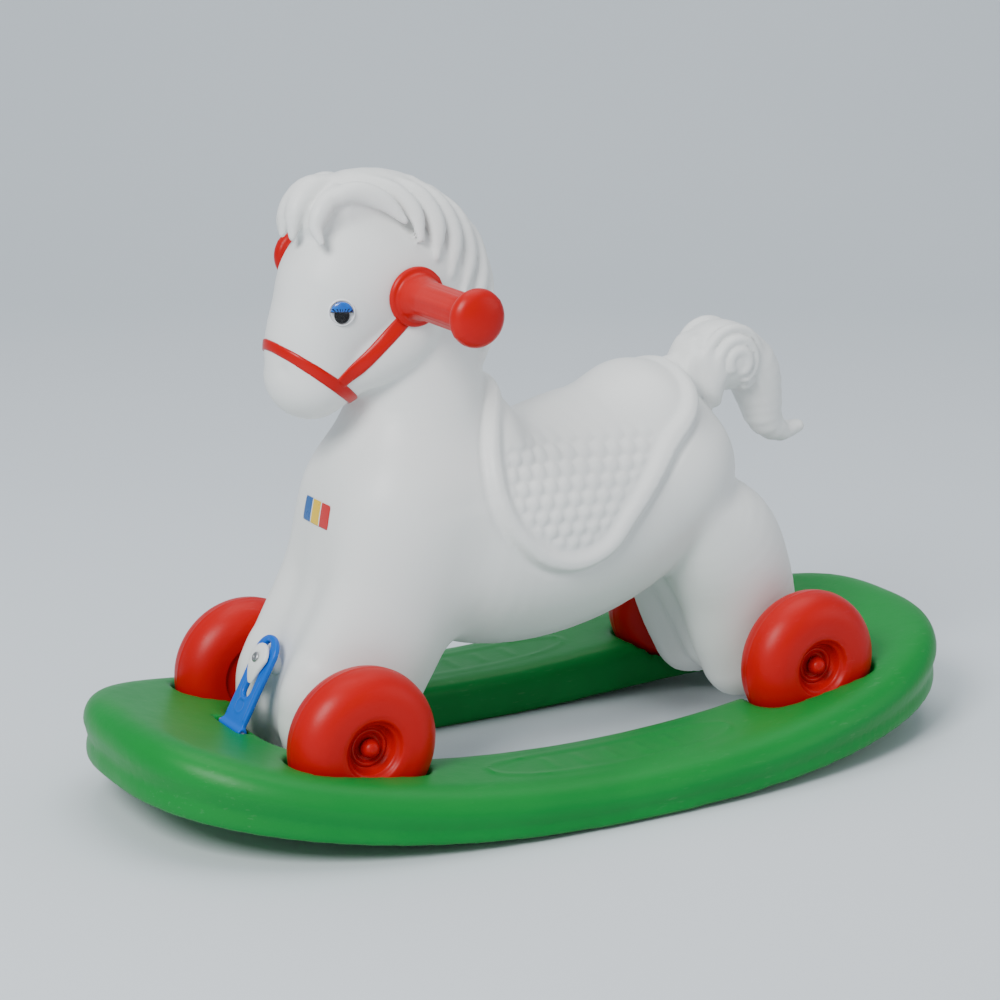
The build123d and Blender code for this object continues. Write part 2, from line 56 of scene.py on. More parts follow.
class Tone(Enum):
    """Base colours of the mouldings, linear red, green and blue."""

    WHITE = (0.80, 0.81, 0.79)
    GREEN = (0.0, 0.215, 0.03)
    RED = (0.50, 0.0, 0.0)
    BLUE = (0.0, 0.115, 0.60)
    BLACK = (0.010, 0.010, 0.012)
    STEEL = (0.50, 0.50, 0.51)
    EYE = (0.86, 0.87, 0.88)


# ---------------------------------------------------------------------- shader kit


class Wire:
    """A socket that can be used in sums and products."""

    def __init__(self, kit: "ShaderKit", socket: Link) -> None:
        """Keep the material's kit and the socket.

        Args:
            kit: the material's kit.
            socket: the socket.
        """
        self.kit = kit
        self.socket = socket

    def _with(self, operation: str, other: "Wire | float", swap: bool = False) -> "Wire":
        """Join two values with a Math node.

        Args:
            operation: the Math node's operation.
            other: the second value.
            swap: puts the second value first.

        Returns:
            The result.
        """
        pair = (other, self) if swap else (self, other)
        return self.kit.node("ShaderNodeMath", {"operation": operation}, {0: pair[0], 1: pair[1]})

    def __add__(self, other: "Wire | float") -> "Wire":
        """Sum."""
        return self._with("ADD", other)

    def __radd__(self, other: float) -> "Wire":
        """Sum with a number first."""
        return self._with("ADD", other, True)

    def __sub__(self, other: "Wire | float") -> "Wire":
        """Difference."""
        return self._with("SUBTRACT", other)

    def __rsub__(self, other: float) -> "Wire":
        """Difference from a number."""
        return self._with("SUBTRACT", other, True)

    def __mul__(self, other: "Wire | float") -> "Wire":
        """Product."""
        return self._with("MULTIPLY", other)

    def __rmul__(self, other: float) -> "Wire":
        """Product with a number first."""
        return self._with("MULTIPLY", other, True)

    def __gt__(self, other: "Wire | float") -> "Wire":
        """One where this is the larger."""
        return self._with("GREATER_THAN", other)

    def __lt__(self, other: "Wire | float") -> "Wire":
        """One where this is the smaller."""
        return self._with("LESS_THAN", other)


class ShaderKit:
    """Builds one material's node tree."""

    def __init__(self, name: str) -> None:
        """Start a material with an empty tree, a shader and an output.

        Args:
            name: the material's name.
        """
        self.material = bpy.data.materials.new(name)
        self.material.use_nodes = True
        self.tree = self.material.node_tree
        self.tree.nodes.clear()
        self.shader = self.tree.nodes.new("ShaderNodeBsdfPrincipled")
        output = self.tree.nodes.new("ShaderNodeOutputMaterial")
        self.tree.links.new(self.shader.outputs[0], output.inputs["Surface"])

    def node(
        self,
        kind: str,
        settings: dict[str, Any] | None = None,
        inputs: dict[Any, Any] | None = None,
        output: Any = 0,
    ) -> Wire:
        """Add a node.

        Args:
            kind: the node's type.
            settings: attributes, set first; "stops" is a ramp's list of (place, colour).
            inputs: values or wires of its sockets.
            output: which output to return.

        Returns:
            That output.
        """
        made = self.tree.nodes.new(kind)
        for key, value in (settings or {}).items():
            if key == "stops":
                ramp = made.color_ramp.elements
                for index, (place, colour) in enumerate(value):
                    stop = ramp[index] if index < 2 else ramp.new(place)
                    stop.position = place
                    stop.color = (*colour, 1.0)
            else:
                setattr(made, key, value)
        for key, value in (inputs or {}).items():
            self.feed(made.inputs[key], value)
        return Wire(self, made.outputs[output])

    def feed(self, socket: Link, value: Any) -> None:
        """Link a wire to a socket, or set a plain value on it.

        Args:
            socket: the socket.
            value: a wire, a number or a colour.
        """
        if isinstance(value, Wire):
            self.tree.links.new(value.socket, socket)
        elif hasattr(value, "__len__") and len(value) == 3 and socket.type == "RGBA":
            socket.default_value = (*value, 1.0)
        else:
            socket.default_value = value

    def set(self, **sockets: Any) -> None:
        """Set the shader's sockets; an underscore in a name stands for a space.

        Args:
            sockets: values or wires by socket name.
        """
        for key, value in sockets.items():
            self.feed(self.shader.inputs[key.replace("_", " ")], value)

    def place(self) -> Wire:
        """Position on the object, which moves with its body."""
        return self.node("ShaderNodeTexCoord", output="Object")

    def noise(
        self, scale: float, detail: float = 3.0, stretch: Sequence[float] = (1, 1, 1)
    ) -> Wire:
        """Cloudy value from 0 to 1.

        Args:
            scale: clouds in a metre.
            detail: how many finer layers.
            stretch: scale along X, Y and Z.

        Returns:
            The value.
        """
        spot = self.node(
            "ShaderNodeVectorMath", {"operation": "MULTIPLY"}, {0: self.place(), 1: stretch}
        )
        return self.node(
            "ShaderNodeTexNoise", None, {"Vector": spot, "Scale": scale, "Detail": detail}
        )

    def ramp(self, value: Wire, low: float, high: float) -> Wire:
        """Smooth 0 to 1 between two levels of a value.

        Args:
            value: the value.
            low: level that gives 0.
            high: level that gives 1.

        Returns:
            The share.
        """
        settings = {"interpolation_type": "SMOOTHSTEP"}
        return self.node(
            "ShaderNodeMapRange", settings, {"Value": value, "From Min": low, "From Max": high}
        )

    def mix(self, factor: Wire, first: Any, second: Any) -> Wire:
        """Blend two colours.

        Args:
            factor: share of the second.
            first: the first colour.
            second: the second colour.

        Returns:
            The blend.
        """
        made = self.tree.nodes.new("ShaderNodeMix")
        made.data_type = "RGBA"
        self.feed(made.inputs[0], factor)
        self.feed(made.inputs[6], first)
        self.feed(made.inputs[7], second)
        return Wire(self, made.outputs[2])

    def bump(self, height: Wire, distance: float, strength: float = 1.0) -> Wire:
        """Normal of a fine relief.

        Args:
            height: relief from 0 to 1.
            distance: its height in metres.
            strength: share of it that shows.

        Returns:
            The normal.
        """
        inputs = {"Height": height, "Distance": distance, "Strength": strength}
        return self.node("ShaderNodeBump", None, inputs)


def scaled(colour: Sequence[float], factor: float) -> tuple[float, ...]:
    """Lighten or darken a colour.

    Args:
        colour: the colour.
        factor: what each part is multiplied by.

    Returns:
        The new colour.
    """
    return tuple(min(1.0, part * factor) for part in colour)


# ---------------------------------------------------------------------- finishes


@dataclass(frozen=True)
class MouldedPlastic:
    """Satin polyethylene with a slightly uneven skin.

    Attributes:
        name: the material's name.
        tone: base colour.
        roughness: middle roughness.
        mottle: share by which the colour wanders.
        peel: height of the skin's fine waviness.
        scuff: strength of pale scuffs, from 0 to 1.
        glow: share of light that passes into the skin.
        bottom_darkening: share by which the colour turns darker and duller towards the bottom, in
            patches, from 0 to 1.
    """

    name: str
    tone: Tone
    roughness: float = 0.38
    mottle: float = 0.06
    peel: float = 0.00012
    scuff: float = 0.0
    glow: float = 0.0
    bottom_darkening: float = 0.0

    def build(self) -> bpy.types.Material:
        """Make the material.

        Returns:
            The material.
        """
        kit = ShaderKit(self.name)
        base = self.tone.value
        clouds = kit.noise(9.0, 2.0)
        colour = kit.mix(kit.ramp(clouds, 0.3, 0.7), scaled(base, 1 - self.mottle), base)
        fine = kit.noise(420.0, 2.0)
        rough = self.roughness + (kit.noise(55.0, 4.0) - 0.5) * 0.12
        if self.scuff:
            threads = kit.noise(70.0, 6.0, (1.0, 3.5, 6.0))
            scratch = kit.ramp(threads, 0.60, 0.70) * kit.ramp(kit.noise(11.0), 0.45, 0.62)
            pale = tuple(0.7 * part + 0.25 for part in base)
            colour = kit.mix(scratch * self.scuff, colour, pale)
            rough = rough + scratch * 0.25 * self.scuff
        # Colour turns darker and duller towards the bottom, in patches, over the lowest 5 cm.
        if self.bottom_darkening:
            up = kit.node("ShaderNodeSeparateXYZ", None, {0: kit.place()}, "Z")
            bottom_share = kit.ramp(up, 0.05, 0.0) * kit.ramp(kit.noise(30.0, 5.0), 0.35, 0.65)
            colour = kit.mix(bottom_share * self.bottom_darkening, colour, scaled(base, 0.55))
            rough = rough + bottom_share * 0.2 * self.bottom_darkening
        relief = fine * 0.5 + kit.noise(130.0, 2.0) * 0.8
        kit.set(
            Base_Color=colour,
            Roughness=rough,
            Normal=kit.bump(relief, self.peel),
            IOR=1.49,
            Specular_IOR_Level=0.25,
            Subsurface_Weight=self.glow,
            Subsurface_Radius=(0.012, 0.011, 0.010),
            Subsurface_Scale=0.4,
        )
        return kit.material


@dataclass(frozen=True)
class PlatedSteel:
    """Zinc plated steel with fine turning marks."""

    name: str

    def build(self) -> bpy.types.Material:
        """Make the material.

        Returns:
            The material.
        """
        kit = ShaderKit(self.name)
        marks = kit.noise(260.0, 3.0, (1.0, 9.0, 1.0))
        base = Tone.STEEL.value
        tone = kit.mix(kit.ramp(kit.noise(60.0), 0.3, 0.7), scaled(base, 0.8), base)
        kit.set(
            Base_Color=tone,
            Metallic=1.0,
            Roughness=0.28 + marks * 0.2,
            Normal=kit.bump(marks, 0.00005),
        )
        return kit.material


@dataclass(frozen=True)
class ClearLens:
    """Clear domed plastic over an eye."""

    name: str

    def build(self) -> bpy.types.Material:
        """Make the material.

        Returns:
            The material.
        """
        kit = ShaderKit(self.name)
        haze = kit.noise(300.0, 2.0)
        kit.set(
            Base_Color=(0.02, 0.02, 0.02),
            Roughness=0.03 + haze * 0.05,
            Alpha=0.05,
            IOR=1.5,
            Normal=kit.bump(haze, 0.00002),
        )
        return kit.material


@dataclass(frozen=True)
class LashedLid:
    """Glossy blue lid with dark lashes that fan out along its lower edge.

    Attributes:
        name: the material's name.
        middle: middle of the eye.
        radius: radius of the lid.
        turn: how far the eye looks forward, in radians, times its side.
    """

    name: str
    middle: tuple[float, float, float]
    radius: float
    turn: float

    def build(self) -> bpy.types.Material:
        """Make the material.

        Returns:
            The material.
        """
        kit = ShaderKit(self.name)
        spot = kit.node(
            "ShaderNodeVectorMath", {"operation": "SUBTRACT"}, {0: kit.place(), 1: self.middle}
        )
        flat = kit.node(
            "ShaderNodeVectorMath",
            {"operation": "DOT_PRODUCT"},
            {0: spot, 1: (math.cos(self.turn), math.sin(self.turn), 0.0)},
            "Value",
        )
        up = kit.node("ShaderNodeSeparateXYZ", None, {0: spot}, "Z")
        above = up + 0.35 * self.radius
        angle = kit.node("ShaderNodeMath", {"operation": "ARCTAN2"}, {0: flat, 1: above})
        comb = kit.node("ShaderNodeMath", {"operation": "SINE"}, {0: angle * 22.0})
        reach = kit.ramp(up, 0.52 * self.radius, 0.12 * self.radius)
        lash = (comb > 0.25) * (reach > 0.45)
        rim = up < 0.12 * self.radius
        dark = kit.node("ShaderNodeMath", {"operation": "MAXIMUM"}, {0: lash, 1: rim})
        shade = kit.mix(kit.ramp(kit.noise(160.0), 0.3, 0.7), (0.0, 0.11, 0.58), (0.0, 0.15, 0.68))
        kit.set(
            Base_Color=kit.mix(dark, shade, (0.004, 0.008, 0.03)),
            Roughness=0.16 + kit.noise(500.0) * 0.08,
            Coat_Weight=0.6,
        )
        return kit.material


@dataclass(frozen=True)
class StickerFilm:
    """Plain three-colour film.

    Attributes:
        name: the material's name.
        half: half width of the film.
    """

    name: str
    half: float

    def build(self) -> bpy.types.Material:
        """Make the material.

        Returns:
            The material.
        """
        kit = ShaderKit(self.name)
        across = kit.node("ShaderNodeSeparateXYZ", None, {0: kit.place()}, "Y")
        third = self.half / 3
        warm = kit.mix(across > -third, (0.55, 0.02, 0.02), (0.80, 0.52, 0.02))
        colour = kit.mix(across > third, warm, (0.01, 0.10, 0.34))
        for edge in (-third, third):
            near = kit.node("ShaderNodeMath", {"operation": "ABSOLUTE"}, {0: across - edge})
            colour = kit.mix(near < 0.0007, colour, (0.75, 0.76, 0.74))
        kit.set(
            Base_Color=colour,
            Roughness=0.22 + kit.noise(200.0) * 0.15,
            Normal=kit.bump(kit.noise(120.0, 4.0), 0.0001),
        )
        return kit.material


@dataclass(frozen=True)
class StudioSweep:
    """Pale matt paper sweep."""

    name: str

    def build(self) -> bpy.types.Material:
        """Make the material.

        Returns:
            The material.
        """
        kit = ShaderKit(self.name)
        clouds = kit.noise(2.0, 2.0)
        kit.set(
            Base_Color=kit.mix(clouds, (0.66, 0.71, 0.75), (0.70, 0.745, 0.78)),
            Roughness=0.75 + kit.noise(40.0) * 0.1,
        )
        return kit.material


# ---------------------------------------------------------------------- solid forms


def blend_min(first: Array, second: Array, soft: float) -> Array:
    """Union of two distance fields with a fillet.

    Args:
        first: the first field.
        second: the second field.
        soft: size of the fillet.

    Returns:
        The joined field.
    """
    if soft <= 0:
        return np.minimum(first, second)
    share = np.clip(0.5 + 0.5 * (second - first) / soft, 0, 1)
    return second + (first - second) * share - soft * share * (1 - share)


def blend_max(first: Array, second: Array, soft: float) -> Array:
    """Common part of two distance fields with a rounded edge.

    Args:
        first: the first field.
        second: the second field.
        soft: size of the rounding.

    Returns:
        The common field.
    """
    return -blend_min(-first, -second, soft)


def smooth_step(value: Array, low: float, high: float) -> Array:
    """Smooth 0 to 1 between two levels.

    Args:
        value: the values.
        low: level that gives 0.
        high: level that gives 1.

    Returns:
        The shares.
    """
    share = np.clip((value - low) / (high - low), 0, 1)
    return share * share * (3 - 2 * share)


def resample(stations: Array, count: int) -> Array:
    """Smooth curve through stations.

    Args:
        stations: rows whose first three values are a point.
        count: how many rows to return.

    Returns:
        The rows along the curve.
    """
    gaps = np.linalg.norm(np.diff(stations[:, :3], axis=0), axis=1)
    along = np.r_[0, np.cumsum(gaps)]
    slope = np.gradient(stations, along, axis=0)
    wanted = np.linspace(0, along[-1], count)
    index = np.clip(np.searchsorted(along, wanted, side="right") - 1, 0, len(stations) - 2)
    gap = (along[index + 1] - along[index])[:, None]
    u = (wanted - along[index])[:, None] / gap
    start, end = stations[index], stations[index + 1]
    return (
        (2 * u**3 - 3 * u**2 + 1) * start
        + (u**3 - 2 * u**2 + u) * gap * slope[index]
        + (-2 * u**3 + 3 * u**2) * end
        + (u**3 - u**2) * gap * slope[index + 1]
    )


class Clay:
    """A block of space in which rounded forms are joined and cut, in millimetres."""

    def __init__(self, low: Sequence[float], high: Sequence[float], step: float) -> None:
        """Start with empty space between two corners.

        Args:
            low: lower corner.
            high: upper corner.
            step: distance between samples.
        """
        self.low = np.array(low, float)
        self.step = step
        self.count = np.ceil((np.array(high) - self.low) / step).astype(int) + 1
        self.field = np.full(self.count, 1e3, np.float32)

    def near(self, low: Array, high: Array) -> tuple[tuple[slice, ...], list[Array]]:
        """Cut out the samples between two corners.

        Args:
            low: lower corner.
            high: upper corner.

        Returns:
            The slices and the coordinates there.
        """
        first = np.maximum(np.floor((low - self.low) / self.step).astype(int), 0)
        last = np.minimum(np.ceil((high - self.low) / self.step).astype(int) + 1, self.count)
        part = tuple(slice(first[i], max(last[i], first[i] + 1)) for i in range(3))
        axes = [
            (self.low[i] + self.step * np.arange(part[i].start, part[i].stop)).astype(np.float32)
            for i in range(3)
        ]
        return part, np.meshgrid(*axes, indexing="ij")

    def chain(self, stations: Sequence[Station], soft: float, count: int = 20) -> None:
        """Join a limb whose ovals follow a curve.

        Args:
            stations: (x, y, z, half size in the side view, half size across).
            soft: size of the fillet where it joins.
            count: straight pieces along the curve.
        """
        rows = resample(np.array(stations, float), count)
        reach = rows[:, 3:5].max() + soft + 6
        part, (x, y, z) = self.near(rows[:, :3].min(0) - reach, rows[:, :3].max(0) + reach)
        best = np.full(x.shape, 1e9, np.float32)
        for start, end in zip(rows[:-1], rows[1:]):
            way = end[:3] - start[:3]
            share = (x - start[0]) * way[0] + (y - start[1]) * way[1] + (z - start[2]) * way[2]
            share = np.clip(share / (way @ way), 0, 1)
            dx, dy, dz = (
                x - start[0] - share * way[0],
                y - start[1] - share * way[1],
                z - start[2] - share * way[2],
            )
            fore = start[3] + (end[3] - start[3]) * share
            side = start[4] + (end[4] - start[4]) * share
            flat = dx * dx + dz * dz
            ratio = np.sqrt(flat / fore**2 + dy * dy / side**2)
            steep = np.sqrt(flat / fore**4 + dy * dy / side**4) + 1e-9
            best = np.minimum(best, (ratio * (ratio - 1) / steep).astype(np.float32))
        self.field[part] = blend_min(self.field[part], best, soft)

    def egg(
        self, middle: Sequence[float], radii: Sequence[float], soft: float, cut: bool = False
    ) -> None:
        """Join or cut an ellipsoid.

        Args:
            middle: its middle.
            radii: its three half sizes.
            soft: size of the fillet.
            cut: cuts it away.
        """
        middle, radii = np.array(middle, float), np.array(radii, float)
        reach = radii + soft + 6
        part, spot = self.near(middle - reach, middle + reach)
        scaled_spot = [(spot[i] - middle[i]) / radii[i] for i in range(3)]
        ratio = np.sqrt(sum(v * v for v in scaled_spot))
        steep = np.sqrt(sum((v / radii[i]) ** 2 for i, v in enumerate(scaled_spot))) + 1e-9
        value = (ratio * (ratio - 1) / steep).astype(np.float32)
        if cut:
            self.field[part] = blend_max(self.field[part], -value, soft)
        else:
            self.field[part] = blend_min(self.field[part], value, soft)

    def sample(self, points: Array) -> Array:
        """Read the field at points by trilinear interpolation.

        Args:
            points: the points.

        Returns:
            The distances there.
        """
        place = np.clip((points - self.low) / self.step, 0, self.count - 1.001)
        base = place.astype(int)
        share = place - base
        total = np.zeros(len(points))
        for corner in range(8):
            bits = np.array([(corner >> axis) & 1 for axis in range(3)])
            weight = np.prod(np.where(bits, share, 1 - share), axis=1)
            index = base + bits
            total += weight * self.field[index[:, 0], index[:, 1], index[:, 2]]
        return total

    def slope(self, points: Array) -> Array:
        """Outward unit direction of the field at points.

        Args:
            points: the points.

        Returns:
            The directions.
        """
        offsets = np.eye(3) * self.step
        columns = [self.sample(points + row) - self.sample(points - row) for row in offsets]
        grad = np.stack(columns, 1)
        return grad / (np.linalg.norm(grad, axis=1)[:, None] + 1e-9)

    def settle(self, points: Array, lift: float = 0.0, rounds: int = 6) -> Array:
        """Move points onto the surface, or to a small height above it.

        Args:
            points: the points.
            lift: height above the surface.
            rounds: how often they are moved.

        Returns:
            The moved points.
        """
        points = np.array(points, float)
        for _ in range(rounds):
            points = points - self.slope(points) * (self.sample(points) - lift)[:, None]
        return points

    def grid(self) -> list[Array]:
        """List the coordinates of every sample.

        Returns:
            The x, y and z of each.
        """
        return self.near(self.low, self.low + self.step * self.count)[1]

    def skin(self, form: Array | None = None) -> tuple[Array, Array]:
        """Find the surface of the clay.

        Args:
            form: distances that replace the clay's own.

        Returns:
            The surface's points and its four-sided faces.
        """
        if form is not None:
            self.field = form.astype(np.float32)
        field, count = self.field, self.field.shape
        inside = field < 0
        corners = [(a, b, c) for a in (0, 1) for b in (0, 1) for c in (0, 1)]
        total = sum(
            inside[a : count[0] - 1 + a, b : count[1] - 1 + b, c : count[2] - 1 + c].astype(np.int8)
            for a, b, c in corners
        )
        active = (total > 0) & (total < 8)
        cells = np.argwhere(active)
        number = -np.ones(active.shape, np.int64)
        number[active] = np.arange(len(cells))
        value = {
            k: field[cells[:, 0] + k[0], cells[:, 1] + k[1], cells[:, 2] + k[2]] for k in corners
        }
        place, crossings = np.zeros((len(cells), 3)), np.zeros(len(cells))
        for low in corners:
            for axis in range(3):
                if low[axis]:
                    continue
                high = tuple(1 if i == axis else low[i] for i in range(3))
                first, second = value[low], value[high]
                cross = (first < 0) != (second < 0)
                spot = np.tile(np.array(low, float), (len(cells), 1))
                spot[cross, axis] += first[cross] / (first[cross] - second[cross])
                place[cross] += spot[cross]
                crossings[cross] += 1
        points = (cells + place / crossings[:, None]) * self.step + self.low
        faces = []
        for axis in range(3):
            before = [slice(None)] * 3
            after = [slice(None)] * 3
            before[axis], after[axis] = slice(0, -1), slice(1, None)
            flips = np.argwhere(inside[tuple(before)] != inside[tuple(after)])
            first, second = [i for i in range(3) if i != axis]
            ring = []
            for a, b in ((-1, -1), (0, -1), (0, 0), (-1, 0)):
                cell = flips.copy()
                cell[:, first] += a
                cell[:, second] += b
                ring.append(number[cell[:, 0], cell[:, 1], cell[:, 2]])
            quad = np.stack(ring, 1)
            outward = inside[tuple(before)][flips[:, 0], flips[:, 1], flips[:, 2]]
            if axis == 1:
                outward = ~outward
            quad[~outward] = quad[~outward][:, ::-1]
            faces.append(quad)
        return points, np.concatenate(faces)


def placed(name: str, data: Any) -> bpy.types.Object:
    """Put a mesh, light or camera in the scene.

    Args:
        name: the new object's name.
        data: what it shows.

    Returns:
        The object.
    """
    thing = bpy.data.objects.new(name, data)
    bpy.context.scene.collection.objects.link(thing)
    return thing


class Workshop:
    """Turns points and faces into pieces."""

    finishes: dict[str, bpy.types.Material] = {}

    @classmethod
    def finish(cls, maker: Any) -> bpy.types.Material:
        """Build a finish once and hand it out again after that.

        Args:
            maker: the finish.

        Returns:
            Its material.
        """
        if maker.name not in cls.finishes:
            cls.finishes[maker.name] = maker.build()
        return cls.finishes[maker.name]

    @classmethod
    def piece(
        cls, name: str, points: Array, faces: Any, maker: Any, body: str, slot: str, relax: int = 0
    ) -> bpy.types.Object:
        """Make a piece from millimetre points.

        Args:
            name: the piece's name.
            points: its points in millimetres.
            faces: its faces.
            maker: its finish.
            body: the body it rides on.
            slot: name for its material slot; not used.
            relax: rounds of smoothing.

        Returns:
            The piece.
        """
        mesh = bpy.data.meshes.new(name)
        mesh.from_pydata((np.asarray(points) * MM).tolist(), [], [list(map(int, f)) for f in faces])
        mesh.validate()
        mesh.update()
        mesh.polygons.foreach_set("use_smooth", [True] * len(mesh.polygons))
        thing = placed(name, mesh)
        mesh.materials.append(cls.finish(maker))
        if relax:
            smooth = thing.modifiers.new("relax", "SMOOTH")
            smooth.factor = 0.5
            smooth.iterations = relax
            cls.apply(thing)
        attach(thing, body)
        LOG.info("%s: %d faces", name, len(thing.data.polygons))
        return thing

    @staticmethod
    def apply(thing: bpy.types.Object) -> None:
        """Turn a piece's modifiers into plain mesh.

        Args:
            thing: the piece.
        """
        graph = bpy.context.evaluated_depsgraph_get()
        made = bpy.data.meshes.new_from_object(thing.evaluated_get(graph))
        old = thing.data
        thing.modifiers.clear()
        thing.data = made
        bpy.data.meshes.remove(old)

    @classmethod
    def dress(cls, node: str, maker: Any) -> None:
        """Give a carried-over node its finish.

        Args:
            node: the node's name.
            maker: the finish.
        """
        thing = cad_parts[node]
        thing.data.materials.clear()
        thing.data.materials.append(cls.finish(maker))
        for face in thing.data.polygons:
            face.material_index = 0


def lathe(
    profile: Outline, frame_at: "Frame", count: int = 96, ripple: Callable | None = None
) -> tuple[Array, list[tuple[int, ...]]]:
    """Turn a profile about a frame's Z axis.

    Args:
        profile: (radius, height) points in millimetres, closed on the axis or on itself.
        frame_at: where the axis stands.
        count: steps around.
        ripple: changes a radius, given the profile's arrays and the angle.

    Returns:
        Points and faces.
    """
    radius = np.array([p[0] for p in profile], float)
    height = np.array([p[1] for p in profile], float)
    rings = []
    for step in range(count):
        angle = 2 * math.pi * step / count
        wide = ripple(radius, height, angle) if ripple else radius
        local = np.stack([wide * math.cos(angle), wide * math.sin(angle), height], 1)
        rings.append(frame_at.out(local))
    points = np.concatenate(rings)
    size = len(profile)
    faces = []
    for step in range(count):
        here, there = step * size, ((step + 1) % count) * size
        for i in range(size - 1):
            faces.append((here + i, there + i, there + i + 1, here + i + 1))
    return weld(points, faces)


def weld(points: Array, faces: Sequence[tuple[int, ...]]) -> tuple[Array, list[tuple[int, ...]]]:
    """Join points that coincide and drop faces that close up.

    Args:
        points: the points.
        faces: faces by point number.

    Returns:
        The points and faces that are left.
    """
    keys = np.round(points, 4)
    _, first, lookup = np.unique(keys, axis=0, return_index=True, return_inverse=True)
    lookup = lookup.ravel()
    kept = []
    for face in faces:
        ring = []
        for index in face:
            new = int(lookup[index])
            if not ring or ring[-1] != new:
                ring.append(new)
        if len(ring) > 1 and ring[0] == ring[-1]:
            ring.pop()
        if len(ring) > 2:
            kept.append(tuple(ring))
    return points[first], kept


def sheet_faces(rows: int, columns: int) -> list[tuple[int, ...]]:
    """Face both sides and the edge of a sheet whose two sides are alike grids of points.

    Args:
        rows: cells up the sheet.
        columns: cells across it.

    Returns:
        The faces, for the points of one side followed by those of the other.
    """
    wide = columns + 1
    size = (rows + 1) * wide
    faces = []
    for row in range(rows):
        for column in range(columns):
            a = row * wide + column
            quad = (a, a + 1, a + wide + 1, a + wide)
            faces += [quad, tuple(i + size for i in reversed(quad))]
    border = list(range(wide)) + [(row + 1) * wide - 1 for row in range(1, rows + 1)]
    border += [rows * wide + column for column in range(columns - 1, -1, -1)]
    border += [row * wide for row in range(rows - 1, 0, -1)]
    for first, second in zip(border, border[1:] + border[:1]):
        faces.append((second, first, first + size, second + size))
    return faces


@dataclass(frozen=True)
class Frame:
    """A place with three unit directions, in millimetres."""

    origin: tuple[float, float, float]
    x: tuple[float, float, float]
    z: tuple[float, float, float]

    @property
    def y(self) -> Array:
        """Second direction."""
        return np.cross(np.array(self.z, float), np.array(self.x, float))

    def out(self, local: Array) -> Array:
        """Points given in this frame, in the object's own frame.

        Args:
            local: the points in this frame.

        Returns:
            The points in the object's frame.
        """
        x, z = np.array(self.x, float), np.array(self.z, float)
        return np.array(self.origin, float) + local @ np.stack([x, self.y, z])


def rounded(points: Outline, radius: float, steps: int = 5) -> Outline:
    """Round the corners of an open outline.

    Args:
        points: the outline.
        radius: distance from a corner at which its curve starts.
        steps: points along each curve.

    Returns:
        The rounded outline.
    """
    rows = [np.array(p, float) for p in points]
    made = [rows[0]]
    for before, here, after in zip(rows, rows[1:], rows[2:]):
        first, second = before - here, after - here
        size = min(radius, 0.45 * np.linalg.norm(first), 0.45 * np.linalg.norm(second))
        start = here + first / (np.linalg.norm(first) + 1e-9) * size
        end = here + second / (np.linalg.norm(second) + 1e-9) * size
        for step in range(steps + 1):
            u = step / steps
            made.append((1 - u) ** 2 * start + 2 * u * (1 - u) * here + u * u * end)
    made.append(rows[-1])
    return [(float(p[0]), float(p[1])) for p in made]


# ---------------------------------------------------------------------- the object


def middle_of(node: str) -> Array:
    """Middle of a node's box in millimetres.

    Args:
        node: the node's name.

    Returns:
        The middle.
    """
    low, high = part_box(node)
    return (np.array(low) + np.array(high)) * 500


def size_of(node: str) -> Array:
    """Size of a node's box in millimetres.

    Args:
        node: the node's name.

    Returns:
        The size along each direction.
    """
    low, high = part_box(node)
    return (np.array(high) - np.array(low)) * 1000


WHITE = MouldedPlastic("white_moulding", Tone.WHITE, 0.38, 0.03, 0.00010, scuff=0.06, glow=0.03)
GREEN = MouldedPlastic("green_moulding", Tone.GREEN, 0.42, 0.08, 0.00014, scuff=0.08, bottom_darkening=0.2)
RED = MouldedPlastic("red_moulding", Tone.RED, 0.40, 0.08, 0.00012, scuff=0.05)
GRIP = MouldedPlastic("red_grip", Tone.RED, 0.36, 0.08, 0.00010)
BLUE = MouldedPlastic("blue_strap", Tone.BLUE, 0.32, 0.08, 0.00008)
BUTTON = MouldedPlastic("white_button", Tone.WHITE, 0.34, 0.03, 0.00006)
BLACK = MouldedPlastic("black_disc", Tone.BLACK, 0.15, 0.10, 0.00003)
NYLON = MouldedPlastic("black_nylon", Tone.BLACK, 0.5, 0.10, 0.00006)
EYE = MouldedPlastic("eye_white", Tone.EYE, 0.2, 0.02, 0.00003)
TAPE = MouldedPlastic("red_tape", Tone.RED, 0.30, 0.08, 0.00008)
STEEL = PlatedSteel("plated_steel")


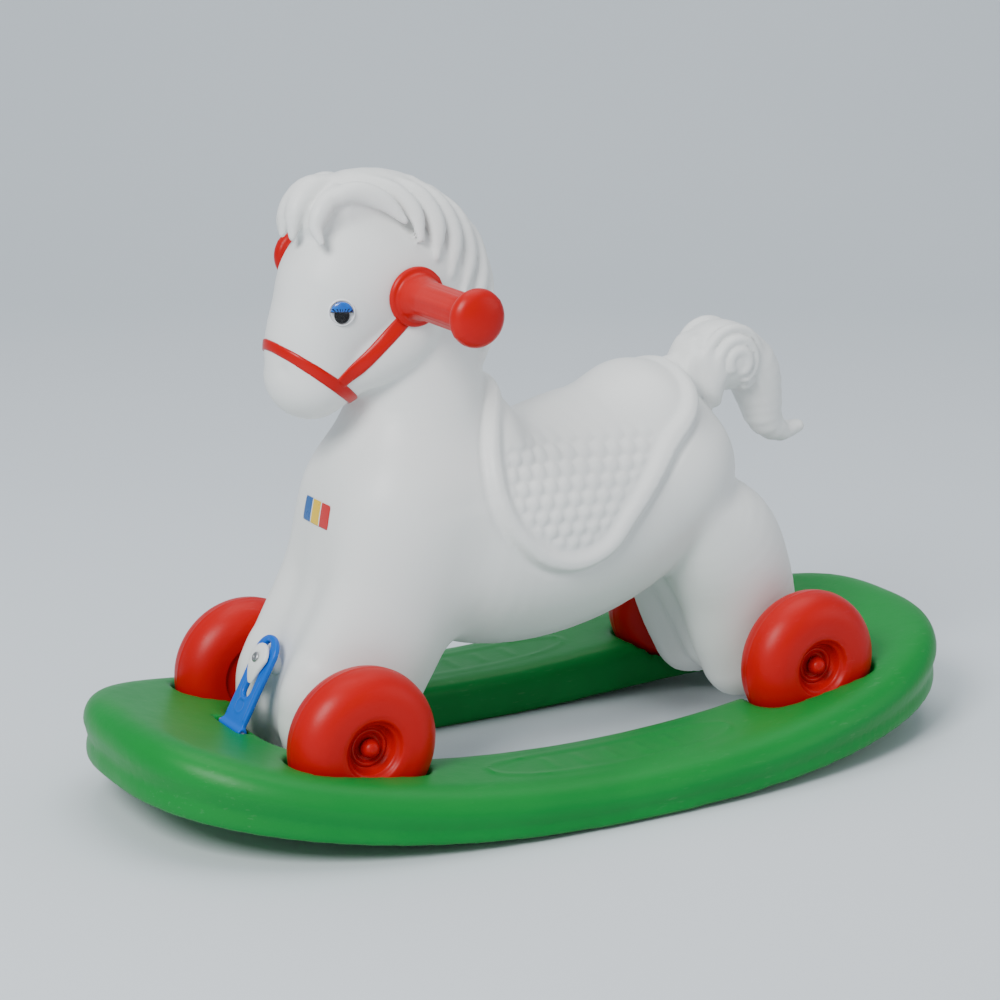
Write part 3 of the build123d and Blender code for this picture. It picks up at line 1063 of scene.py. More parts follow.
@dataclass
class RockerBase:
    """Hollow green ring with a curved sole, in millimetres."""

    step: float = 3.0
    fullness: float = 2.66
    opening_fullness: float = 4.5
    opening_half: float = 268.0
    opening_side: float = 87.0
    rocker_radius: float = 2000.0
    deck_height: float = 42.0
    deck_radius: float = 1316.0
    deck_round: float = 34.0
    band_depth: float = 2.6
    band_width: float = 5.0
    band_inset: float = 2.4
    tyre_round: float = 25.0
    rib_height: float = 1.2
    well_gap: float = 2.6

    @staticmethod
    def oval(x: Array, y: Array, half: float, side: float, power: float) -> Array:
        """Distance from an oval in the plan, negative inside.

        Args:
            x: places along it.
            y: places across it.
            half: its half length.
            side: its half width.
            power: its fullness, 2 for an ellipse.

        Returns:
            The distances.
        """
        a, b = np.abs(x) / half + 1e-6, np.abs(y) / side + 1e-6
        total = (a**power + b**power) ** (1 / power)
        slope = np.sqrt((a ** (power - 1) / half) ** 2 + (b ** (power - 1) / side) ** 2)
        return (total - 1) / (slope / total ** (power - 1) + 1e-9)

    def build(self) -> None:
        """Model and dress the ring."""
        low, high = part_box("rocker_base")
        half = min(-low[0], high[0]) * 1000 - 0.3
        side = high[1] * 1000
        clay = Clay((-half - 9, -side - 9, -9), (half + 9, side + 9, 118), self.step)
        x, y, z = clay.grid()
        sole = self.rocker_radius - np.sqrt(self.rocker_radius**2 - x**2)
        sole = np.maximum(sole - 0.2, 0)
        deck = self.deck_height + self.deck_radius - np.sqrt(self.deck_radius**2 - x**2)
        outer = self.oval(x, y, half, side, self.fullness)
        inner = self.oval(x, y, self.opening_half, self.opening_side, self.opening_fullness)
        top = blend_max(outer, z - deck, self.deck_round)
        inside = blend_max(-inner, z - deck, 18.0)
        form = np.maximum(top, inside)
        form = blend_max(form, sole - z, 5.0)
        middle = sole + (deck - sole) * 0.42
        groove = np.sqrt((outer / self.band_depth) ** 2 + ((z - middle) / self.band_width) ** 2) - 1
        form = blend_max(form, -groove * self.band_depth, 3.0)
        band = smooth_step(middle - z, 0, 5) * smooth_step(outer + 30, 0, 20)
        form = form + self.band_inset * band
        form = self.foot_rests(form, x, y, z, deck)
        for spot in WHEELS:
            form = self.well(form, x, y, z, spot)
        for end in ENDS:
            form = self.pocket(form, x, y, z, end)
        points, faces = clay.skin(form)
        ring = Workshop.piece("rocker_ring", points, faces, GREEN, "rocker", "base_green", 2)
        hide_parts("rocker_base")

    def foot_rests(self, form: Array, x: Array, y: Array, z: Array, deck: Array) -> Array:
        """Raise the oval outline and the tread bars of each foot rest.

        Args:
            form: the distances so far.
            x: places along the base.
            y: places across it.
            z: heights.
            deck: the deck's height at each place.

        Returns:
            The new distances.
        """
        top = np.exp(-(((z - deck) / 9) ** 2))
        for side in SIDES.values():
            across = y - side * 138
            oval = self.oval(x, across, 118, 24, 2.6)
            bead = np.exp(-((oval / 2.2) ** 2))
            bars = np.zeros_like(x)
            for place in (-60, -30, 0, 30, 60):
                bar = np.exp(-(((x - place) / 2.6) ** 2)) * smooth_step(15 - np.abs(across), 0, 4)
                bars = np.maximum(bars, bar)
            form = form - self.rib_height * top * np.maximum(bead, bars)
        return form

    def well(self, form: Array, x: Array, y: Array, z: Array, spot: str) -> Array:
        """Sink a wheel's well with a rounded rim.

        Args:
            form: the distances so far.
            x: places along the base.
            y: places across it.
            z: heights.
            spot: which wheel.

        Returns:
            The new distances.
        """
        wheel = middle_of(f"{spot}_wheel")
        size = size_of(f"{spot}_wheel")
        radius = size[0] / 2 + self.well_gap
        below = np.minimum(z - wheel[2] - self.well_gap + 0.6, 0)
        reach = np.sqrt((x - wheel[0]) ** 2 + below**2)
        outer = reach - radius + self.tyre_round
        wide = np.abs(y - wheel[1]) - size[1] / 2 - self.well_gap + self.tyre_round
        tyre = np.hypot(np.maximum(outer, 0), np.maximum(wide, 0))
        tyre = tyre + np.minimum(np.maximum(outer, wide), 0) - self.tyre_round
        return blend_max(form, -tyre, 3.0)

    def pocket(self, form: Array, x: Array, y: Array, z: Array, end: str) -> Array:
        """Sink the pocket of a latch's hinge.

        Args:
            form: the distances so far.
            x: places along the base.
            y: places across it.
            z: heights.
            end: "front" or "rear".

        Returns:
            The new distances.
        """
        pin = middle_of(f"{end}_latch_pin")
        size = size_of(f"{end}_latch_pin")
        box = np.maximum(np.abs(x - pin[0]) - 6.4, np.abs(y) - size[1] / 2 - 1.0)
        return blend_max(form, -np.maximum(box, pin[2] - 9 - z), 1.5)


@dataclass
class HorseBody:
    """White moulding with saddle, mane and tail, in millimetres."""

    step: float = 2.3
    bump_pitch: float = 13.4
    bump_height: float = 3.0
    rim_height: float = 8.0
    seat_lift: float = 2.0

    def model(self) -> Clay:
        """Join every rounded form of the horse.

        Returns:
            The clay.
        """
        step = self.step * 1.0
        clay = Clay((-290, -120, 36), (320, 120, 552), step)
        trunk = [
            (-105, 0, 224, 90, 84),
            (-50, 0, 211, 99, 92),
            (10, 0, 212, 99, 94),
            (60, 0, 226, 96, 94),
            (100, 0, 240, 84, 92),
        ]
        clay.chain(trunk, 0)
        clay.egg((-142, 0, 242), (60, 72, 84), 20)
        clay.egg((121, 0, 251), (70, 88, 66), 14)
        clay.egg((108, 0, 300), (40, 62, 40), 26)
        clay.egg((-50, 0, 296), (20, 58, 36), 20)
        neck = [
            (-108, 0, 250, 76, 76),
            (-112, 0, 300, 63, 62),
            (-112, 0, 345, 58, 51),
            (-114, 0, 390, 57, 46),
            (-118, 0, 430, 58, 45),
        ]
        clay.chain(neck, 24)
        self.head(clay)
        self.mane(clay)
        self.legs(clay)
        self.tail(clay)
        self.fittings(clay)
        return clay

    def head(self, clay: Clay) -> None:
        """Join the skull, muzzle and jaw.

        Args:
            clay: the clay they are joined to.
        """
        clay.egg((-155, 0, 440), (77, 54, 64), 14)
        muzzle = [(-185, 0, 425, 52, 48), (-205, 0, 388, 43, 43), (-212, 0, 364, 37, 40)]
        clay.chain(muzzle, 14)
        jaw = [(-138, 0, 412, 42, 46), (-170, 0, 385, 34, 42), (-190, 0, 366, 28, 36)]
        clay.chain(jaw, 6)
        for side in SIDES.values():
            cheek = [
                (-190, side * 18, 373, 25, 22),
                (-164, side * 24, 383, 29, 26),
                (-141, side * 29, 401, 32, 27),
                (-134, side * 29, 424, 28, 26),
            ]
            clay.chain(cheek, 3, 12)
            clay.egg((-182, side * 56, 497), (24, 13, 12), 8, cut=True)
            clay.egg((-249, side * 20, 374), (6, 6, 4), 5, cut=True)

    def mane(self, clay: Clay) -> None:
        """Join the crest, its hanging locks and the forelock.

        Args:
            clay: the clay they are joined to.
        """
        crest = [
            (-206, 0, 494, 20, 24),
            (-190, 0, 501, 24, 28),
            (-158, 0, 503, 27, 31),
            (-116, 0, 487, 29, 31),
            (-90, 0, 455, 31, 30),
            (-82, 0, 412, 29, 29),
            (-84, 0, 372, 27, 27),
        ]
        clay.chain(crest, 8)
        locks = [
            [
                (-208, 22, 508, 7, 7), (-184, 28, 516, 9, 8), (-162, 37, 508, 8, 7),
                (-148, 47, 492, 3, 3),
            ],
            [
                (-168, 12, 520, 8, 7), (-146, 28, 512, 8, 7), (-135, 40, 496, 7, 6),
                (-134, 48, 476, 3, 3),
            ],
            [
                (-146, 10, 518, 8, 7), (-124, 26, 507, 9, 7), (-115, 39, 485, 8, 6),
                (-119, 47, 460, 3, 3),
            ],
            [
                (-124, 8, 515, 8, 7), (-104, 25, 497, 9, 7), (-97, 36, 472, 8, 6),
                (-105, 45, 444, 3, 3),
            ],
            [
                (-104, 5, 505, 8, 7), (-86, 21, 485, 9, 7), (-81, 32, 458, 8, 6),
                (-91, 42, 428, 3, 3),
            ],
            [(-88, 4, 492, 8, 7), (-70, 18, 466, 9, 7), (-68, 29, 440, 8, 6), (-79, 39, 408, 3, 3)],
            [(-72, 3, 472, 8, 7), (-59, 15, 444, 8, 7), (-60, 26, 416, 7, 6), (-73, 37, 384, 3, 3)],
            [(-62, 2, 444, 7, 7), (-53, 12, 416, 8, 7), (-58, 23, 390, 7, 6), (-71, 34, 362, 3, 3)],
        ]
        forelock = [
            [
                (-190, 0, 518, 9, 10), (-212, 2, 514, 12, 12), (-226, 6, 500, 9, 9),
                (-231, 9, 480, 3, 4),
            ],
            [
                (-196, 18, 514, 8, 8), (-212, 26, 504, 9, 8), (-220, 29, 490, 6, 6),
                (-219, 37, 479, 3, 3),
            ],
        ]
        for side in SIDES.values():
            for lock in locks + forelock:
                clay.chain([(x, side * y, z, fore, wide) for x, y, z, fore, wide in lock], 1.6, 12)
            clay.egg((-222, side * 19, 495), (6, 3.5, 7), 3, cut=True)

    def legs(self, clay: Clay) -> None:
        """Join the four legs and the webs between them.

        Args:
            clay: the clay they are joined to.
        """
        for side in SIDES.values():
            front = [
                (-140, side * 36, 235, 58, 42),
                (-162, side * 40, 161, 61, 40),
                (-187, side * 40, 114, 61, 37),
                (-201, side * 40, 85, 61, 36),
                (-205, side * 39, 74, 54, 34),
            ]
            clay.chain(front, 26)
            rear = [
                (126, side * 36, 230, 40, 44),
                (146, side * 40, 207, 42, 45),
                (166, side * 42, 184, 55, 45),
                (188, side * 42, 142, 56, 39),
                (200, side * 40, 103, 53, 36),
                (207, side * 39, 76, 47, 33),
            ]
            clay.chain(rear, 8)
        fore_web = [
            (-140, 230, 56, 40),
            (-163, 161, 56, 36),
            (-190, 110, 52, 34),
            (-202, 82, 44, 30),
        ]
        rear_web = [(126, 230, 36, 40), (158, 178, 46, 38), (190, 125, 46, 34), (203, 82, 38, 28)]
        for web, soft in ((fore_web, 24), (rear_web, 10)):
            clay.chain([(x, 0, z, fore, wide) for x, z, fore, wide in web], soft)

    def tail(self, clay: Clay) -> None:
        """Join the tail with its root collar, swirl and lifted tip.

        Args:
            clay: the clay they are joined to.
        """
        stem = [
            (146, 0, 312, 20, 20),
            (168, 0, 333, 25, 25),
            (198, 0, 340, 27, 29),
            (226, 0, 326, 25, 29),
            (238, 0, 298, 20, 24),
            (246, 0, 274, 15, 18),
            (262, 0, 262, 10, 13),
            (282, 0, 264, 6, 8),
        ]
        clay.chain(stem, 7)
        clay.egg((194, 0, 338), (32, 35, 31), 8)
        for side in SIDES.values():
            for reach, lift in ((28, 21.0), (19, 28.0), (10, 31.5)):
                turns = np.radians(np.linspace(-60, 215, 14))
                swirl = [
                    (194 + reach * math.cos(t), side * lift, 338 + reach * math.sin(t), 4.6, 5.2)
                    for t in turns
                ]
                clay.chain(swirl, 1.5, 30)
            collar = [
                (162, side * 8, 352, 7, 8),
                (168, side * 22, 336, 8, 7),
                (172, side * 24, 317, 10, 9),
                (177, side * 20, 303, 6, 7),
            ]
            clay.chain(collar, 8, 14)
            for shift, top in ((0, 334), (11, 338)):
                groove = [
                    (212 + shift, side * (26 - shift * 0.5), top, 4, 4),
                    (228 + shift, side * (22 - shift * 0.5), 306, 4.5, 4),
                    (238 + shift, side * (17 - shift * 0.5), 284, 4, 4),
                    (250 + shift, side * 11, 266, 3, 3),
                ]
                clay.chain(groove, 1.5, 14)

    def fittings(self, clay: Clay) -> None:
        """Join the seats of the axles and the handles.

        Args:
            clay: the clay they are joined to.
        """
        for end in ENDS:
            axle = middle_of(f"{end}_axle")
            clay.chain([(axle[0], -68, axle[2], 13, 9), (axle[0], 68, axle[2], 13, 9)], 5, 4)
        rod = middle_of("handle_rod")
        clay.chain([(rod[0], -44, rod[2], 23, 8), (rod[0], 44, rod[2], 23, 8)], 8, 4)

    def side_of_saddle(self, x: Array, z: Array) -> Array:
        """How far inside the saddle's outline a point lies in the side view.

        Args:
            x: places along the horse.
            z: heights.

        Returns:
            Distances, positive inside.
        """
        outline = [
            (-60, 420),
            (-58, 345),
            (-72, 322),
            (-84, 292),
            (-86, 262),
            (-78, 236),
            (-64, 216),
            (-44, 200),
            (-20, 192),
            (4, 193),
            (26, 203),
            (48, 227),
            (74, 255),
            (100, 282),
            (122, 301),
            (136, 318),
            (143, 342),
            (144, 420),
        ]
        rows = resample(np.array([(a, 0.0, b) for a, b in outline], float), 90)[:, [0, 2]]
        best = np.full(x.shape, 1e9)
        inside = np.zeros(x.shape, bool)
        closed = np.vstack([rows, rows[:1]])
        for (ax, az), (bx, bz) in zip(closed[:-1], closed[1:]):
            way = np.array([bx - ax, bz - az])
            share = np.clip(((x - ax) * way[0] + (z - az) * way[1]) / (way @ way + 1e-9), 0, 1)
            best = np.minimum(best, np.hypot(x - ax - share * way[0], z - az - share * way[1]))
            if az != bz:
                straddles = (az > z) != (bz > z)
                inside ^= straddles & (x < (bx - ax) * (z - az) / (bz - az) + ax)
        return np.where(inside, best, -best)

    def relief(self, points: Array) -> Array:
        """Height of the saddle's rim, seat and hammered flap over the plain skin.

        Args:
            points: points on the skin.

        Returns:
            The heights.
        """
        x, z = points[:, 0], points[:, 2]
        depth = self.side_of_saddle(x, z)
        inner = smooth_step(depth, 10, 19)
        rim = self.rim_height * smooth_step(depth, -1.0, 4.5) * (1 - inner) + self.seat_lift * inner
        crease = -1.4 * np.exp(-(((depth + 3.2) / 2.4) ** 2))
        rise = self.bump_pitch * 0.87
        row = np.round((z - 240) / rise)
        shift = (row % 2) * 0.5
        column = np.round(x / self.bump_pitch - shift) + shift
        dx, dz = x - column * self.bump_pitch, z - 240 - row * rise
        dome = np.clip(1 - (dx * dx + dz * dz) / (self.bump_pitch * 0.49) ** 2, 0, 1) ** 0.8
        field = smooth_step(depth, 19, 24) * smooth_step(-z, -306, -284) * smooth_step(-x, -92, -74)
        low_side = smooth_step(np.abs(points[:, 1]), 20, 45)
        flap = field * (self.bump_height * dome - 0.8) * low_side
        fade = 1 - np.maximum(
            smooth_step(x, 142, 156) * smooth_step(z, 296, 312),
            smooth_step(-x, 50, 58) * smooth_step(z, 340, 352),
        )
        return (rim + crease + flap) * fade

    def build(self) -> Clay:
        """Model and dress the moulding.

        Returns:
            The clay, whose surface other pieces follow.
        """
        clay = self.model()
        points, faces = clay.skin()
        x, z = points[:, 0], points[:, 2]
        near = (x > -110) & (x < 175) & (z > 170) & (z < 364)
        chosen = points[near]
        points[near] = chosen + clay.slope(chosen) * self.relief(chosen)[:, None]
        horse = Workshop.piece("horse_moulding", points, faces, WHITE, "horse", "horse_white", 2)
        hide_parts("horse_body")
        self.posts()
        return clay

    def posts(self) -> None:
        """Make the short posts that carry the turn buttons."""
        for end in ENDS:
            outline = [(0, -24), (10, -24), (7.4, -12), (5.5, -6), (5.5, 2.6), (0, 2.6)]
            profile = rounded(outline, 1.0)
            made = lathe(profile, button_frame(end), 48)
            Workshop.piece(f"{end}_button_post", *made, WHITE, "horse", "horse_white")


def latch_frame(end: str) -> Frame:
    """Find the frame on a latch's hinge pin.

    Args:
        end: "front" or "rear".

    Returns:
        The frame: Y runs up the strap and Z leaves its face.
    """
    lean = math.radians(LATCH_LEAN)
    sign = ENDS[end]
    pin = middle_of(f"{end}_latch_pin")
    return Frame(
        (pin[0], 0.0, pin[2]), (0.0, sign, 0.0), (sign * math.cos(lean), 0.0, math.sin(lean))
    )


def button_frame(end: str) -> Frame:
    """Find the frame on a turn button's axis.

    Args:
        end: "front" or "rear".

    Returns:
        The frame: Z is the axis on which the button turns.
    """
    spot = latch_frame(end)
    middle = spot.out(np.array([[0, BUTTON_ALONG, 0]]))[0]
    return Frame(tuple(middle), spot.x, spot.z)


@dataclass
class StrapLatch:
    """Blue strap with its turn button, in millimetres."""

    end: str
    width: float = 35.0
    length: float = 84.0
    thickness: float = 4.5
    slot: tuple[float, float, float] = (34.0, 72.0, 12.0)
    waist: float = 0.6

    def build(self) -> None:
        """Model and dress the strap, the button and the screw."""
        spot = latch_frame(self.end)
        clay = Clay((-22, -8, -8), (22, 90, 8), 0.8)
        x, y, z = clay.grid()
        half = self.width / 2
        slim = self.waist * np.exp(-(((y - 36) / 16) ** 2))
        top = np.hypot(x, np.maximum(y - self.length + half, 0)) - half + slim
        plate = np.maximum(top, -y)
        low, high, wide = self.slot
        gap = np.hypot(x, y - np.clip(y, low, high)) - wide / 2
        body = blend_max(blend_max(plate, -gap, 1.2), np.abs(z) - self.thickness / 2, 1.6)
        border = np.exp(-(((plate + 2.6) / 1.4) ** 2)) + np.exp(-(((gap - 2.4) / 1.4) ** 2))
        ring = np.exp(-(((np.hypot(x, y - 20) - 6.5) / 0.9) ** 2))
        body = body - 0.55 * border * (y > 9) - 0.5 * ring
        barrel = blend_max(np.hypot(y, z) - 4.4, np.abs(x) - 18.9, 1.0)
        form = blend_min(body, barrel, 2.0)
        form = np.maximum(form, 2.15 - np.hypot(y, z))
        points, faces = clay.skin(form)
        strap = Workshop.piece(
            f"{self.end}_strap", spot.out(points), faces, BLUE, f"{self.end}_latch", "latch_blue", 2
        )
        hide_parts(f"{self.end}_latch")
        self.button(spot)
        Workshop.dress(f"{self.end}_latch_pin", STEEL)

    def button(self, spot: Frame) -> None:
        """Make the teardrop turn button and its rivet.

        Args:
            spot: the latch's frame.
        """
        clay = Clay((-17, 28, 0), (17, 80, 13), 0.7)
        x, y, z = clay.grid()
        head, tip, along, tail = 13.4, 2.9, BUTTON_ALONG, 26.0
        share = np.clip((along - y) / tail, 0, 1)
        drop = np.hypot(x, y - along + share * tail) - (head + (tip - head) * share)
        base = 3.3
        crown = base + 4.9 - 0.009 * (x**2 + (y - along) ** 2)
        form = blend_max(blend_max(drop, z - crown, 2.6), base - z, 0.8)
        hollow = np.hypot(x, y - along) - 5.6
        form = blend_max(form, -np.maximum(hollow, base + 4.1 - z), 0.8)
        form = np.maximum(form, 2.1 - np.hypot(x, y - along))
        points, faces = clay.skin(form)
        piece = Workshop.piece(
            f"{self.end}_teardrop_button",
            spot.out(points),
            faces,
            BUTTON,
            f"{self.end}_button",
            "button_white",
            2,
        )
        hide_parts(f"{self.end}_turn_button")
        shank = [(0, -8), (1.95, -8), (1.95, 7.6)]
        head_outline = [(4.4, 7.7), (4.4, 8.6), (3.2, 9.5), (1.6, 9.5), (1.4, 8.7), (0, 8.7)]
        profile = rounded(shank + head_outline, 0.5)
        made = lathe(profile, button_frame(self.end), 48)
        rivet = Workshop.piece(f"{self.end}_rivet", *made, STEEL, "horse", "steel")
        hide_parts(f"{self.end}_button_screw")


@dataclass
class Wheel:
    """Fat round-shouldered wheel, in millimetres."""

    spot: str
    shoulder: float = 25.0
    bore: float = 5.05

    def build(self) -> None:
        """Model and dress the wheel."""
        node = f"{self.spot}_wheel"
        middle, size = middle_of(node), size_of(node)
        side = 1.0 if middle[1] > 0 else -1.0
        radius, half = size[0] / 2, size[1] / 2
        shoulder, bore = self.shoulder, self.bore
        rim = [
            (radius - shoulder + shoulder * math.sin(a), half - shoulder + shoulder * math.cos(a))
            for a in np.linspace(0.0, math.pi / 2, 14)
        ]
        back = [(r, -h) for r, h in reversed(rim)]
        face = rounded(
            [
                (bore, half - 16.2),
                (11.5, half - 16.2),
                (12.8, half - 13.6),
                (15.2, half - 13.0),
                (16.8, half - 14.6),
                (19.6, half - 12.0),
                (21.0, half - 6.4),
                (23.6, half - 4.8),
                (25.6, half - 1.4),
                (31.0, half - 0.2),
                rim[0],
            ],
            1.6,
        )
        seam = [(radius + 0.25, 0.6), (radius + 0.25, -0.6)]
        hub = rounded(
            [
                back[-1],
                (30, -half),
                (28, -half + 3),
                (13, -half + 3),
                (11, -half),
                (bore, -half),
                (bore, half - 16.2),
            ],
            1.4,
        )
        tread = [(radius, 1.2), *seam, (radius, -1.2)]
        profile = face[:-1] + rim[:-1] + tread + back[1:-1] + hub
        spot = Frame(tuple(middle), (1.0, 0.0, 0.0), (0.0, side, 0.0))
        points, faces = lathe(profile, spot, 120)
        wheel = Workshop.piece(f"{self.spot}_tyre", points, faces, RED, node, "wheel_red")
        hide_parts(node)


@dataclass
class RunningGear:
    """Axles with their washers, push nuts and caps."""

    def build(self) -> None:
        """Dress the steel and nylon and model the caps."""
        for node in ("front_axle", "rear_axle", "axle_push_nuts"):
            Workshop.dress(node, STEEL)
        Workshop.dress("wheel_washers", NYLON)
        _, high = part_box("axle_caps")
        base = high[1] * 1000 - 10
        all_points, all_faces = [], []
        inside = [(0, 7.0), (5.1, 7.0), (5.1, 0), (7.9, 0)]
        outside = [(7.9, 3.2), (6.3, 7.6), (3.2, 9.7), (0, 9.95)]
        profile = rounded(inside + outside, 2.2)
        for end in ENDS:
            axle = middle_of(f"{end}_axle")
            for side in SIDES.values():
                spot = Frame((axle[0], side * base, axle[2]), (1.0, 0.0, 0.0), (0.0, side, 0.0))
                points, faces = lathe(profile, spot, 40)
                offset = sum(len(p) for p in all_points)
                all_points.append(points)
                all_faces += [tuple(i + offset for i in face) for face in faces]
        points = np.concatenate(all_points)
        caps = Workshop.piece("hub_caps", points, all_faces, RED, "horse", "cap_red")
        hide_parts("axle_caps")


@dataclass
class Handle:
    """Red grip with a flange, ribs and a round knob, in millimetres."""

    name: str
    ribs: int = 9

    def build(self) -> None:
        """Model and dress the handle."""
        node = f"{self.name}_handle"
        middle, side = middle_of(node), SIDES[self.name]
        low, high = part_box(node)
        near = min(abs(low[1]), abs(high[1])) * 1000
        far = max(abs(low[1]), abs(high[1])) * 1000
        grip = 15.8
        profile = rounded(
            [
                (4.1, near),
                (24.6, near),
                (25.0, near + 3.0),
                (23.2, near + 5.0),
                (20.6, near + 5.6),
                (19.0, near + 8.0),
                (17.6, near + 15),
                (grip, near + 24),
            ],
            2.4,
        )
        profile += [(grip, near + 24 + step * 4.2) for step in range(1, 15)]
        knob = far - 17.5
        profile += rounded(
            [
                (grip, knob - 3),
                (18.6, knob - 1.0),
                (22.4, knob + 1.0),
                (24.0, knob + 5.0),
                (23.2, knob + 9.4),
                (19.6, knob + 13.4),
                (13.6, knob + 15.8),
                (7.0, knob + 17.0),
                (0.0, knob + 17.4),
            ],
            3.0,
        )

        def ripple(radius: Array, height: Array, angle: float) -> Array:
            """Raise the ribs along the grip and the seam over the knob.

            Args:
                radius: the profile's radii.
                height: the profile's heights.
                angle: the angle around it.

            Returns:
                The new radii.
            """
            wave = max(0.0, math.cos(self.ribs * angle)) ** 0.7
            start = smooth_step(height, near + 22, near + 30)
            grip_part = start * smooth_step(-height, -(knob - 4), -(knob - 10))
            seam = math.exp(-((math.sin(angle - 0.6) / 0.05) ** 2))
            seam_part = smooth_step(radius, 2, 8)
            return radius + 0.6 * wave * grip_part + 0.28 * seam * seam_part

        spot = Frame((middle[0], 0.0, middle[2]), (1.0, 0.0, 0.0), (0.0, side, 0.0))
        points, faces = lathe(profile, spot, 168, ripple)
        grip_piece = Workshop.piece(f"{self.name}_grip", points, faces, GRIP, "horse", "handle_red")
        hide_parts(node)


@dataclass
class Eye:
    """Domed eye with a loose pupil under a blue lid, in millimetres."""

    name: str

    def build(self) -> None:
        """Model and dress the eye's pieces."""
        side = SIDES[self.name]
        turn = math.radians(24.0)
        back = middle_of(f"{self.name}_eye_back")
        out = (-math.sin(turn), side * math.cos(turn), 0.0)
        flat = (-side * math.cos(turn), -math.sin(turn), 0.0)
        radius = size_of(f"{self.name}_eye_back")[2] / 2
        spot = Frame(tuple(back), flat, out)
        dish = [(0, 0.2), (radius - 1.7, 0.2), (radius - 1.5, 1.2), (radius - 0.5, 1.3)]
        made = lathe(rounded(dish + [(radius, 0.2), (radius, -1.0), (0, -1.0)], 0.5), spot, 72)
        white = Workshop.piece(f"{self.name}_eye_white", *made, EYE, "horse", "eye_white")
        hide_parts(f"{self.name}_eye_back")
        wide, thinner = radius - 1.1, 0.93
        foot = (wide, 1.0)
        bends = np.linspace(0, math.pi / 2, 12)
        dome = [(wide * math.cos(a), 2.6 + 4.0 * math.sin(a)) for a in bends]
        under = [(r * thinner, h - 0.8) for r, h in reversed(dome)]
        made = lathe([foot, *dome, *under, (wide * thinner, 1.0), foot], spot, 72)
        clear = ClearLens("clear_lens")
        lens = Workshop.piece(f"{self.name}_eye_dome", *made, clear, "horse", "eye_lens")
        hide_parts(f"{self.name}_eye_lens")
        self.pupil(spot)
        self.lid(spot, radius, turn * side)

    def pupil(self, spot: Frame) -> None:
        """Make the loose black disc.

        Args:
            spot: the eye's frame.
        """
        middle = middle_of(f"{self.name}_pupil")
        radius = size_of(f"{self.name}_pupil")[2] / 2
        edge = [(radius - 0.2, -0.6), (radius, 0), (radius - 0.4, 0.55)]
        profile = rounded([(0, -0.6), *edge, (0, 0.62)], 0.3)
        made = lathe(profile, Frame(tuple(middle), spot.x, spot.z), 64)
        body = f"{self.name}_pupil"
        disc = Workshop.piece(f"{self.name}_pupil_disc", *made, BLACK, body, "pupil_black")
        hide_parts(f"{self.name}_pupil")

    def lid(self, spot: Frame, radius: float, turn: float) -> None:
        """Make the curved blue lid inside the upper half of the dome.

        Args:
            spot: the eye's frame.
            radius: the eye's radius.
            turn: how far the eye looks forward, times its side.
        """
        reach, edge, rows, columns = radius - 2.0, 0.4, 14, 40
        points = []
        for layer in (0.0, 0.35):
            for row in range(rows + 1):
                for column in range(columns + 1):
                    angle = math.pi * column / columns
                    share = row / rows
                    x = reach * math.cos(angle)
                    y = edge
                    if math.sin(angle) > 0.06:
                        y += (reach * math.sin(angle) - edge) * share
                    fall = (x * x + y * y) / (reach * reach + 0.5)
                    level = 2.3 + 2.2 * math.sqrt(max(0.0, 1 - fall))
                    points.append((x, y, level + layer))
        made = weld(spot.out(np.array(points)), sheet_faces(rows, columns))
        middle = tuple(float(v) * MM for v in spot.origin)
        finish = LashedLid(f"{self.name}_lashed_lid", middle, radius * MM, turn)
        piece = Workshop.piece(f"{self.name}_blue_lid", *made, finish, "horse", "eyelid_blue")
        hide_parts(f"{self.name}_eyelid")


